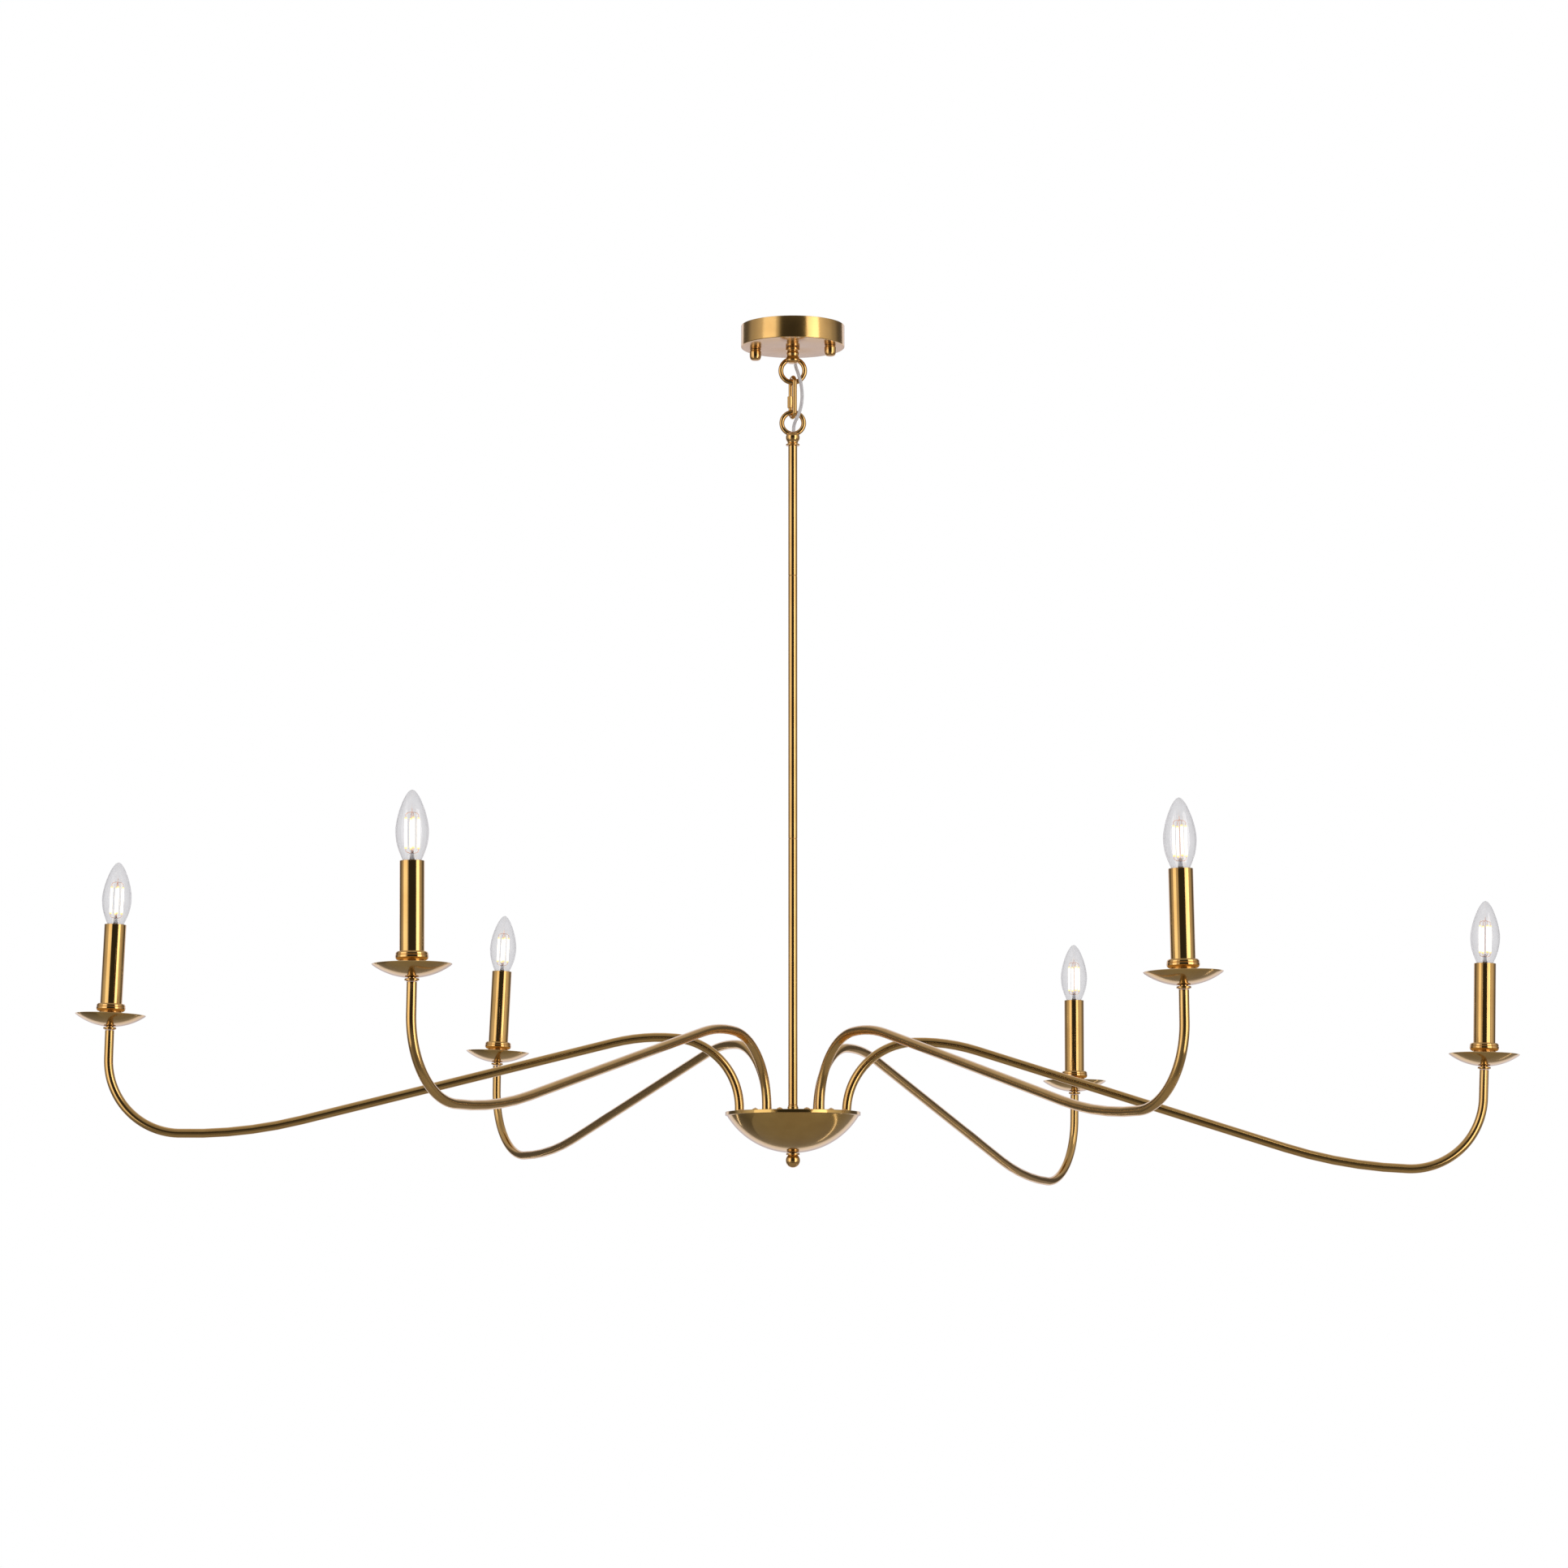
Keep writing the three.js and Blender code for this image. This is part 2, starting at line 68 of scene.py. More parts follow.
RING_WIRE_RADIUS = 2.9
TOP_RING = {"centre_z": -52.4, "radius": 13.75}
STEM_RING = {"centre_z": -114.0, "radius": 12.65}
LINK = {"wire": 2.45, "spacing": 15, "low_z": -107.0, "high_z": -60.5, "turn": -71}
LINK_OPENING = {"from_bow": 8, "length": 6.5}
LINK_NUT = {"across_flats": 6.8, "length": 13.5, "bore": 2.7, "bottom": -95.0}
CORD_RADIUS = 1.9
CORD_JOIN = 5  # the point of the route where the cord's two stretches meet
CORD_ROUTE = [
    (3.2, -0.4, -44.9),
    (3.9, -1.4, -49.0),
    (6.3, -5.6, -57.0),
    (9.6, -7.9, -70.0),
    (10.8, -7.8, -84.0),
    (9.4, -7.9, -96.5),
    (6.2, -8.2, -106.5),
    (1.8, -4.2, -116.0),
    (0.8, -1.6, -123.8),
]

TUBE_RADIUS = 5.25
TUBE_BORE = 4.3
THREAD_RADIUS = 4
THREAD_BORE = 2.8
ROD_TOP_Z = -140.5
ROD_LENGTHS = {"rod_top": 152.4, "rod_middle": 304.8, "rod_bottom": 304.8}
ROD_FOOT_Z = ROD_TOP_Z - sum(ROD_LENGTHS.values())

RIM_Z = -910
PLATE = {"radius": 72, "thickness": 3, "drop": 1.5, "boss": 6.2}
BOWL = {"rim": 77, "lip": 4.5, "shell": 75, "sphere": 88, "sheet": 1.2}
FINIAL = {"ball": 8.2, "collar": 7.75, "collar_height": 2}

ARM_CIRCLE_RADIUS = 61
ARM_FOOT_DEPTH = 8.5
ARM_BENDS = [  # (length of a straight) or (radius, turn in degrees)
    (11.5,),
    (80, -86),
    (217, -19),
    (366,),
    (525, 15.5),
    (84, 89.5),
    (32,),
]
ARM_LIFTS = [-2.5, -1.9, 1.0, 1.2, 1.4, 0.8]  # degrees that each arm's outer end is raised
ARMS = range(1, len(ARM_LIFTS) + 1)

COLLAR = {"bottom": 0.5, "top": 3.8, "radius": 7.5, "stud_top": 34}
DISH = {"radius": 40.5, "bottom": 4.1, "rim": 17.6, "sheet": 1.2}
CUP = {"foot": 6.4, "floor": 22, "top": 30.3, "radius": 16.75}
SLEEVE = {"top": 121.4, "radius": 12.5, "wall": 0.8}
SOCKET = {"body_bottom": 70, "body_top": 112, "radius": 10.2, "bore": 7.4, "bore_bottom": 90, "stem": 6}
BULB = {"base_bottom": 93, "base_top": 116.5, "base_radius": 5.9, "glass": 0.6}
FILAMENT = {"count": 4, "circle": 6.4, "radius": 1.2, "bottom": 12, "top": 43.5, "turn": 15, "dark_end": 4}

# ---------- mesh makers ----------


def rounded(corners, steps=4):
    """An outline whose corners (radius, z, fillet) become short curves. A corner without a fillet stays."""
    points = []
    for index, corner in enumerate(corners):
        here = Vector(corner[:2])
        if len(corner) < 3 or index in (0, len(corners) - 1):
            points.append(here)
            continue
        before = Vector(corners[index - 1][:2]) - here
        after = Vector(corners[index + 1][:2]) - here
        half_angle = before.angle(after) / 2
        reach = min(corner[2] / math.tan(half_angle), 0.48 * before.length, 0.48 * after.length)
        start = here + before.normalized() * reach
        end = here + after.normalized() * reach
        for step in range(steps + 1):
            t = step / steps
            points.append(start * (1 - t) ** 2 + here * 2 * t * (1 - t) + end * t**2)
    return points


def through(points, steps=6):
    """A Catmull-Rom curve through points of any dimension."""
    knots = [Vector(p) for p in points]
    knots = [2 * knots[0] - knots[1], *knots, 2 * knots[-1] - knots[-2]]
    curve = [knots[1]]
    for a, b, c, d in zip(knots, knots[1:], knots[2:], knots[3:]):
        for step in range(1, steps + 1):
            t = step / steps
            even = 2 * b + (2 * a - 5 * b + 4 * c - d) * t**2
            odd = (c - a) * t + (3 * b - a - 3 * c + d) * t**3
            curve.append((even + odd) / 2)
    return curve


def arc(centre_z, radius, from_degrees, to_degrees, steps):
    """Points (radius, z) along a circle centred on the axis, by angle from the horizontal."""
    points = []
    for step in range(steps + 1):
        angle = math.radians(from_degrees + (to_degrees - from_degrees) * step / steps)
        points.append(Vector((radius * math.cos(angle), centre_z + radius * math.sin(angle))))
    return points


def angle_at(sphere, reach):
    """The angle, in degrees below the horizontal, at which a sphere's underside has that radius."""
    return -math.degrees(math.acos(reach / sphere))


def polar(radius, degrees, z=0.0):
    angle = math.radians(degrees)
    return Vector((radius * math.cos(angle), radius * math.sin(angle), z))


def circle(radius, z, count):
    return [polar(radius, 360 * k / count, z) for k in range(count)]


def loop_around(centre, across, other, radius, count):
    """A circle of points about a centre, in the plane of two unit vectors."""
    angles = [2 * math.pi * k / count for k in range(count)]
    return [centre + (across * math.cos(a) + other * math.sin(a)) * radius for a in angles]


def skin(name, rings, sharp=32):
    """A mesh through rings of points. A ring of one point closes an end, and equal end rings are welded."""
    vertices = []
    starts = []
    for ring in rings:
        starts.append(len(vertices))
        vertices.extend(point * MM for point in ring)
    along = [0.0]
    for near, far in zip(rings, rings[1:]):
        along.append(along[-1] + (far[0] - near[0]).length * MM)
    faces = []
    uvs = []
    for index, (near, far) in enumerate(zip(rings, rings[1:])):
        count = max(len(near), len(far))
        here = starts[index]
        there = starts[index + 1]
        for k in range(count):
            after = (k + 1) % count
            low = (along[index], k / count)
            high = (along[index + 1], k / count)
            low_after = (along[index], (k + 1) / count)
            high_after = (along[index + 1], (k + 1) / count)
            if len(near) == 1:
                faces.append((here, there + after, there + k))
                uvs += [low, high_after, high]
            elif len(far) == 1:
                faces.append((here + k, here + after, there))
                uvs += [low, low_after, high]
            else:
                faces.append((here + k, here + after, there + after, there + k))
                uvs += [low, low_after, high_after, high]
    mesh = bpy.data.meshes.new(name)
    mesh.from_pydata(vertices, [], faces)
    layer = mesh.uv_layers.new(name=BRUSH_MAP)
    layer.data.foreach_set("uv", [value for uv in uvs for value in uv])
    work = bmesh.new()
    work.from_mesh(mesh)
    bmesh.ops.remove_doubles(work, verts=work.verts, dist=1e-7)
    bmesh.ops.recalc_face_normals(work, faces=work.faces)
    work.to_mesh(mesh)
    work.free()
    mesh.shade_smooth()
    mesh.set_sharp_from_angle(angle=math.radians(sharp))
    return mesh


def lathe(name, outline, segments=64, sharp=32):
    """A solid of revolution about Z. The outline starts and ends on the axis, or is closed here."""
    points = [Vector(p[:2]) for p in outline]
    if points[0].x > 0 or points[-1].x > 0:
        points.append(points[0])
    rings = []
    for radius, z in points:
        if radius < 1e-6:
            rings.append([Vector((0, 0, z))])
        else:
            rings.append(circle(radius, z, segments))
    return skin(name, rings, sharp)


def threaded(name, radius, bottom, top, pitch, bore=0.0, depth=0.09, segments=24):
    """A threaded rod about Z, or a tube if it has a bore. Depth is the thread's share of the radius."""
    rows_per_turn = 6
    rows = int((top - bottom) / pitch * rows_per_turn)
    rings = [[Vector((0, 0, bottom))] if bore == 0 else circle(bore, bottom, segments)]
    for row in range(rows + 1):
        z = bottom + (top - bottom) * row / rows
        ring = []
        for k in range(segments):
            wave = math.cos(2 * math.pi * (z / pitch - k / segments))
            ring.append(polar(radius * (1 - depth * (1 - wave) / 2), 360 * k / segments, z))
        rings.append(ring)
    if bore == 0:
        rings.append([Vector((0, 0, top))])
    else:
        rings.append(circle(bore, top, segments))
        rings.append(rings[0])
    return skin(name, rings, 60)


def hexagon_nut(name, across_flats, bottom, top, bore, segments=72):
    """A hexagon nut about Z, with the chamfered corners that turning leaves."""
    apothem = across_flats / 2
    corner = apothem / math.cos(math.pi / 6)
    chamfer = (corner - apothem) * 0.6
    rows = [(bottom, 0.0), (bottom + chamfer / 2, 0.6), (bottom + chamfer, 1.0)]
    rows += [(top - chamfer, 1.0), (top - chamfer / 2, 0.6), (top, 0.0)]
    rings = [circle(bore, bottom, segments)]
    for z, share in rows:
        limit = apothem * 0.985 + (corner - apothem * 0.985) * share
        ring = []
        for k in range(segments):
            degrees = 360 * k / segments
            flat = apothem / math.cos(math.radians((degrees % 60) - 30))
            ring.append(polar(min(flat, limit), degrees, z))
        rings.append(ring)
    rings.append(circle(bore, top, segments))
    rings.append(rings[0])
    return skin(name, rings, 24)


class BentPath:
    """A path in the XZ plane made of straights and arcs. A positive turn is anticlockwise, with +Z up."""

    def __init__(self, start, heading, bends):
        self.start = Vector(start)
        self.heading = math.radians(heading)
        self.runs = []
        for bend in bends:
            if len(bend) == 1:
                self.runs.append((bend[0], 0.0))
            else:
                radius, turn = bend
                self.runs.append((radius * math.radians(abs(turn)), math.copysign(1 / radius, turn)))
        self.length = sum(run for run, _ in self.runs)

    def at(self, distance):
        """The point and the heading at a distance along the path."""
        point = self.start.copy()
        heading = self.heading
        left = distance
        for length, curvature in self.runs:
            run = min(max(left, 0), length)
            if curvature == 0:
                point += Vector((math.cos(heading), 0, math.sin(heading))) * run
            else:
                turned = heading + curvature * run
                point.x += (math.sin(turned) - math.sin(heading)) / curvature
                point.z += (math.cos(heading) - math.cos(turned)) / curvature
                heading = turned
            left -= length
        return point, heading

    def stations(self, arc_step=3.0):
        """Distances that follow every bend closely, with arc_step degrees between them."""
        distances = [0.0]
        for length, curvature in self.runs:
            count = max(1, round(math.degrees(length * abs(curvature)) / arc_step))
            if curvature == 0:
                count = max(1, round(length / 25))
            start = distances[-1]
            distances += [start + length * step / count for step in range(1, count + 1)]
        return distances


def bent_tube(name, path, radius, sides=32, bore=0.0, bore_depth=8.0, edge=0.35):
    """A round bar along a bent path, with softened end edges. A bore is a deep recess at its start."""
    inner = [(bore_depth, 0.0), (bore_depth, bore), (edge, bore)] if bore else [(0.0, 0.0)]
    outer = [(0.0, radius - edge), (edge * 0.3, radius - edge * 0.3), (edge, radius)]
    middle = [(s, radius) for s in path.stations() if edge < s < path.length - edge]
    end = [(path.length - s, r) for s, r in reversed(outer)] + [(path.length, 0.0)]
    rings = []
    for distance, reach in inner + outer + middle + end:
        point, heading = path.at(distance)
        normal = Vector((-math.sin(heading), 0, math.cos(heading)))
        if reach == 0:
            rings.append([point])
        else:
            rings.append(loop_around(point, normal, Vector((0, 1, 0)), reach, sides))
    return skin(name, rings)


def tube_along(name, points, radius, sides=20):
    """A round tube with closed ends along points in space, without twist."""
    rings = [[points[0]]]
    across = None
    for index, point in enumerate(points):
        tangent = (points[min(index + 1, len(points) - 1)] - points[max(index - 1, 0)]).normalized()
        if across is None:
            across = tangent.orthogonal()
        across = (across - tangent * across.dot(tangent)).normalized()
        rings.append(loop_around(point, across, tangent.cross(across), radius, sides))
    rings.append([points[-1]])
    return skin(name, rings)


def ring_mesh(name, radius, wire, centre_z, sides=24, segments=96):
    """An upright ring in the XZ plane."""
    rings = []
    for index in range(segments + 1):
        around = 2 * math.pi * (index % segments) / segments
        outward = Vector((math.cos(around), 0, math.sin(around)))
        centre = outward * radius + Vector((0, 0, centre_z))
        rings.append(loop_around(centre, outward, Vector((0, 1, 0)), wire, sides))
    return skin(name, rings)


def joined(name, parts):
    """Several meshes, each with its own matrix, as one mesh. The parts don't touch."""
    work = bmesh.new()
    for mesh, matrix in parts:
        before = len(work.verts)
        work.from_mesh(mesh)
        work.verts.ensure_lookup_table()
        bmesh.ops.transform(work, matrix=matrix, verts=work.verts[before:])
    mesh = bpy.data.meshes.new(name)
    work.to_mesh(mesh)
    work.free()
    return mesh


def new_object(name, data):
    obj = bpy.data.objects.new(name, data)
    bpy.context.scene.collection.objects.link(obj)
    return obj


def united(name, first, second, sharp=40):
    """Two overlapping meshes as one closed skin."""
    body = new_object(name + ".body", first)
    tool = new_object(name + ".tool", second)
    modifier = body.modifiers.new("union", "BOOLEAN")
    modifier.operation = "UNION"
    modifier.solver = "EXACT"
    modifier.object = tool
    depsgraph = bpy.context.evaluated_depsgraph_get()
    mesh = bpy.data.meshes.new_from_object(body.evaluated_get(depsgraph))
    mesh.name = name
    for part in (body, tool):
        bpy.data.objects.remove(part)
    mesh.shade_smooth()
    mesh.set_sharp_from_angle(angle=math.radians(sharp))
    return mesh


def shift(x=0.0, y=0.0, z=0.0):
    return Matrix.Translation(Vector((x, y, z)) * MM)


def piece(name, mesh, material, body, nodes=(), matrix=None):
    """Shows a mesh as one piece that rides on a body and stands for the CAD nodes it is given."""
    obj = new_object(name, mesh)
    if not mesh.materials:
        mesh.materials.append(material)
    if matrix is not None:
        obj.matrix_world = matrix
    if body:
        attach(obj, body)
    if nodes:
        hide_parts(*nodes)
    return obj


# ---------- materials ----------


class Graph:
    """Short forms for building a node tree."""

    def __init__(self, tree):
        self.tree = tree
        tree.nodes.clear()

    def add(self, kind, **settings):
        node = self.tree.nodes.new(kind)
        for key, value in settings.items():
            setattr(node, key, value)
        return node

    def feed(self, socket, value):
        if isinstance(value, bpy.types.NodeSocket):
            self.tree.links.new(value, socket)
        else:
            socket.default_value = value

    def math(self, operation, *values, clamp=False):
        node = self.add("ShaderNodeMath", operation=operation, use_clamp=clamp)
        for socket, value in zip(node.inputs, values):
            self.feed(socket, value)
        return node.outputs[0]

    def span(self, value, low, high, to_low, to_high):
        node = self.add("ShaderNodeMapRange", interpolation_type="SMOOTHSTEP")
        for socket, number in zip(node.inputs, (value, low, high, to_low, to_high)):
            self.feed(socket, number)
        return node.outputs[0]

    def mix(self, share, first, second):
        node = self.add("ShaderNodeMix", data_type="RGBA")
        self.feed(node.inputs[0], share)
        self.feed(node.inputs[6], first)
        self.feed(node.inputs[7], second)
        return node.outputs[2]

    def noise(self, vector, scale, detail=2.0):
        node = self.add("ShaderNodeTexNoise")
        self.feed(node.inputs["Vector"], vector)
        node.inputs["Scale"].default_value = scale
        node.inputs["Detail"].default_value = detail
        return node.outputs["Fac"]

    def bump(self, height, strength, distance):
        node = self.add("ShaderNodeBump")
        node.inputs["Strength"].default_value = strength
        node.inputs["Distance"].default_value = distance
        self.feed(node.inputs["Height"], height)
        return node.outputs["Normal"]

    def object_place(self):
        return self.add("ShaderNodeTexCoord").outputs["Object"]

    def brush_place(self, lines_per_metre, around):
        """A place in space whose X follows the brush map's U, and whose YZ circles with its V."""
        split = self.add("ShaderNodeSeparateXYZ")
        self.feed(split.inputs[0], self.add("ShaderNodeUVMap", uv_map=BRUSH_MAP).outputs[0])
        turn = self.math("MULTIPLY", split.outputs[1], 2 * math.pi)
        place = self.add("ShaderNodeCombineXYZ")
        self.feed(place.inputs[0], self.math("MULTIPLY", split.outputs[0], lines_per_metre))
        self.feed(place.inputs[1], self.math("MULTIPLY", self.math("COSINE", turn), around))
        self.feed(place.inputs[2], self.math("MULTIPLY", self.math("SINE", turn), around))
        return place.outputs[0]


def new_material(name):
    """A material with an empty principled shader, and the graph to fill it with."""
    material = bpy.data.materials.new(name)
    material.use_nodes = True
    graph = Graph(material.node_tree)
    shader = graph.add("ShaderNodeBsdfPrincipled")
    output = graph.add("ShaderNodeOutputMaterial")
    graph.feed(output.inputs["Surface"], shader.outputs[0])
    return material, graph, shader


def brushed_brass(name, tone, roughness, anisotropy, brush):
    """Lacquered brass: fine turned lines, faint clouds in the tone, and lighter metal on the edges."""
    material, graph, shader = new_material(name)
    lines_per_metre = 2200
    lines = graph.noise(graph.brush_place(lines_per_metre, 1.6), 1.0, 3.0)
    clouds = graph.noise(graph.object_place(), 28.0, 4.0)
    deeper = tuple(value * share for value, share in zip(tone, (0.91, 0.87, 0.80))) + (1.0,)
    base = graph.mix(graph.span(clouds, 0.35, 0.68, 0.0, 1.0), tone + (1.0,), deeper)
    base = graph.mix(graph.span(lines, 0.3, 0.75, 0.0, 0.3), base, deeper)
    edge = graph.span(graph.add("ShaderNodeNewGeometry").outputs["Pointiness"], 0.53, 0.6, 0.0, 0.5)
    graph.feed(shader.inputs["Base Color"], graph.mix(edge, base, BRASS_WORN + (1.0,)))
    rough = graph.math("ADD", graph.math("MULTIPLY", clouds, 0.8), graph.math("MULTIPLY", lines, 0.2))
    graph.feed(shader.inputs["Roughness"], graph.span(rough, 0.3, 0.7, roughness * 0.85, roughness * 1.2))
    shader.inputs["Metallic"].default_value = 1.0
    shader.inputs["Coat Weight"].default_value = 0.8
    shader.inputs["Coat Roughness"].default_value = 0.06
    if anisotropy:
        shader.inputs["Anisotropic"].default_value = anisotropy
        tangent = graph.add("ShaderNodeTangent", direction_type="UV_MAP", uv_map=BRUSH_MAP)
        graph.feed(shader.inputs["Tangent"], tangent.outputs[0])
    line_height = 0.00001
    graph.feed(shader.inputs["Normal"], graph.bump(lines, brush, line_height))
    return material


def zinc_steel():
    """Zinc-plated steel: bluish grey with soft crystal patches and fine scratches."""
    material, graph, shader = new_material("zinc_steel")
    place = graph.object_place()
    crystals = graph.add("ShaderNodeTexVoronoi")
    graph.feed(crystals.inputs["Vector"], place)
    crystals.inputs["Scale"].default_value = 260.0
    fine = graph.noise(place, 900.0, 4.0)
    share = graph.span(crystals.outputs["Distance"], 0.1, 0.7, 0.0, 1.0)
    base = graph.mix(share, (0.62, 0.63, 0.64, 1.0), (0.45, 0.46, 0.48, 1.0))
    graph.feed(shader.inputs["Base Color"], base)
    graph.feed(shader.inputs["Roughness"], graph.span(fine, 0.3, 0.7, 0.28, 0.42))
    shader.inputs["Metallic"].default_value = 1.0
    graph.feed(shader.inputs["Normal"], graph.bump(fine, 0.15, 0.00005))
    return material


def socket_plastic():
    """Moulded ivory phenolic with a faint orange-peel skin."""
    material, graph, shader = new_material("socket_plastic")
    place = graph.object_place()
    clouds = graph.noise(place, 60.0, 3.0)
    peel = graph.noise(place, 1400.0, 2.0)
    share = graph.span(clouds, 0.35, 0.65, 0.0, 1.0)
    base = graph.mix(share, (0.76, 0.73, 0.64, 1.0), (0.68, 0.64, 0.54, 1.0))
    graph.feed(shader.inputs["Base Color"], base)
    graph.feed(shader.inputs["Roughness"], graph.span(peel, 0.3, 0.7, 0.38, 0.5))
    graph.feed(shader.inputs["Normal"], graph.bump(peel, 0.2, 0.0001))
    return material


def bulb_glass():
    """Clear lamp glass, very slightly grey, with the faint waviness of blown glass."""
    material, graph, shader = new_material("bulb_glass")
    wave = graph.noise(graph.object_place(), 55.0, 1.0)
    share = graph.span(wave, 0.3, 0.7, 0.0, 1.0)
    base = graph.mix(share, (0.985, 0.983, 0.987, 1.0), (0.965, 0.962, 0.968, 1.0))
    graph.feed(shader.inputs["Base Color"], base)
    shader.inputs["Roughness"].default_value = 0.0
    shader.inputs["IOR"].default_value = 1.47
    shader.inputs["Transmission Weight"].default_value = 1.0
    graph.feed(shader.inputs["Normal"], graph.bump(wave, 0.02, 0.0002))
    absorption = graph.add("ShaderNodeVolumeAbsorption")
    absorption.inputs["Color"].default_value = (0.12, 0.1, 0.14, 1.0)
    absorption.inputs["Density"].default_value = 240.0
    output = next(node for node in material.node_tree.nodes if node.type == "OUTPUT_MATERIAL")
    graph.feed(output.inputs["Volume"], absorption.outputs[0])
    return material


def clear_jacket():
    """Clear soft plastic over two silvery strands, which show as faint lines turning around it."""
    material, graph, shader = new_material("clear_jacket")
    split = graph.add("ShaderNodeSeparateXYZ")
    graph.feed(split.inputs[0], graph.add("ShaderNodeUVMap", uv_map=BRUSH_MAP).outputs[0])
    turns = graph.math("ADD", graph.math("MULTIPLY", split.outputs[0], 22.0), split.outputs[1])
    stripe = graph.math("SINE", graph.math("MULTIPLY", turns, 4 * math.pi))
    share = graph.span(stripe, 0.55, 0.95, 0.0, 0.75)
    base = graph.mix(share, (0.93, 0.92, 0.94, 1.0), (0.80, 0.78, 0.81, 1.0))
    graph.feed(shader.inputs["Base Color"], base)
    soft = graph.noise(graph.object_place(), 300.0, 2.0)
    graph.feed(shader.inputs["Roughness"], graph.span(soft, 0.3, 0.7, 0.12, 0.22))
    shader.inputs["IOR"].default_value = 1.5
    shader.inputs["Transmission Weight"].default_value = 0.15
    graph.feed(shader.inputs["Normal"], graph.bump(soft, 0.05, 0.0002))
    return material


def glowing_filament():
    """The phosphor of a lit filament stick, a little deeper in tone where the grains are."""
    material, graph, shader = new_material("glowing_filament")
    grain = graph.noise(graph.object_place(), 1500.0, 2.0)
    base = graph.mix(grain, (1.0, 0.86, 0.5, 1.0), (1.0, 0.78, 0.36, 1.0))
    graph.feed(shader.inputs["Base Color"], base)
    glow = graph.mix(grain, (1.0, 0.93, 0.8, 1.0), (1.0, 0.9, 0.72, 1.0))
    split = graph.add("ShaderNodeSeparateXYZ")
    graph.feed(split.inputs[0], graph.object_place())
    low = (SLEEVE["top"] + FILAMENT["bottom"]) * MM
    high = (SLEEVE["top"] + FILAMENT["top"]) * MM
    end = FILAMENT["dark_end"] * MM
    above_foot = graph.span(split.outputs[2], low, low + end, 0.0, 1.0)
    below_top = graph.span(split.outputs[2], high - end, high, 1.0, 0.0)
    lit = graph.math("MULTIPLY", above_foot, below_top)
    graph.feed(shader.inputs["Emission Color"], graph.mix(lit, (0.5, 0.3, 0.02, 1.0), glow))
    shader.inputs["Emission Strength"].default_value = 2.2
    graph.feed(shader.inputs["Roughness"], graph.span(grain, 0.3, 0.7, 0.4, 0.6))
    return material


def lead_wire():
    """Copper-clad wire, pinkish where it is sealed into the glass."""
    material, graph, shader = new_material("lead_wire")
    tarnish = graph.noise(graph.object_place(), 700.0, 3.0)
    base = graph.mix(tarnish, (0.86, 0.5, 0.36, 1.0), (0.72, 0.42, 0.3, 1.0))
    graph.feed(shader.inputs["Base Color"], base)
    graph.feed(shader.inputs["Roughness"], graph.span(tarnish, 0.3, 0.7, 0.2, 0.4))
    shader.inputs["Metallic"].default_value = 1.0
    return material


def pale_floor():
    """A plain matt floor with the slightest unevenness."""
    material, graph, shader = new_material("pale_floor")
    clouds = graph.noise(graph.object_place(), 3.0, 3.0)
    share = graph.span(clouds, 0.3, 0.7, 0.0, 1.0)
    base = graph.mix(share, (0.46, 0.455, 0.445, 1.0), (0.43, 0.425, 0.415, 1.0))
    graph.feed(shader.inputs["Base Color"], base)
    graph.feed(shader.inputs["Roughness"], graph.span(clouds, 0.3, 0.7, 0.6, 0.75))
    return material


BRASS_TONE = (0.75, 0.46, 0.145)
BRASS_WORN = (0.86, 0.64, 0.34)

satin_brass = brushed_brass("satin_brass", BRASS_TONE, 0.14, 0.4, 0.02)
fine_brass = brushed_brass("fine_brass", BRASS_TONE, 0.10, 0.3, 0.02)
canopy_brass = brushed_brass("canopy_brass", BRASS_TONE, 0.24, 0.6, 0.02)
spun_brass = brushed_brass("spun_brass", (0.68, 0.43, 0.12), 0.13, 0.4, 0.12)
polished_brass = brushed_brass("polished_brass", (0.79, 0.47, 0.15), 0.07, 0.0, 0.06)
zinc = zinc_steel()
plastic = socket_plastic()
glass = bulb_glass()
jacket = clear_jacket()
filament_glow = glowing_filament()
copper = lead_wire()

# ---------- stage ----------


def camera():
    data = bpy.data.cameras.new("camera")
    data.sensor_width = 36.0
    data.lens = 109.33
    data.clip_end = 100.0
    obj = new_object("camera", data)
    obj.location = (-0.0196, -5.4233, -1.1695)
    pitch_up = 6.68
    obj.rotation_euler = (math.radians(90 + pitch_up), 0.0, math.radians(-0.10))
    bpy.context.scene.camera = obj


def softbox(name, bearing, distance, height, width, tall, radiance, colour=(1.0, 1.0, 1.0)):
    """A tall area light that faces the middle of the chandelier. Bearing 0 is towards -Y, 90 towards +X."""
    data = bpy.data.lights.new(name, "AREA")
    data.shape = "RECTANGLE"
    data.size = width
    data.size_y = tall
    data.energy = radiance * math.pi * width * tall
    data.color = colour
    obj = new_object(name, data)
    angle = math.radians(bearing)
    obj.location = (distance * math.sin(angle), -distance * math.cos(angle), height)
    aim = Vector((0, 0, -0.6)) - obj.location
    aim.z *= 0.25
    obj.rotation_euler = aim.to_track_quat("-Z", "Y").to_euler()
    obj.visible_camera = False


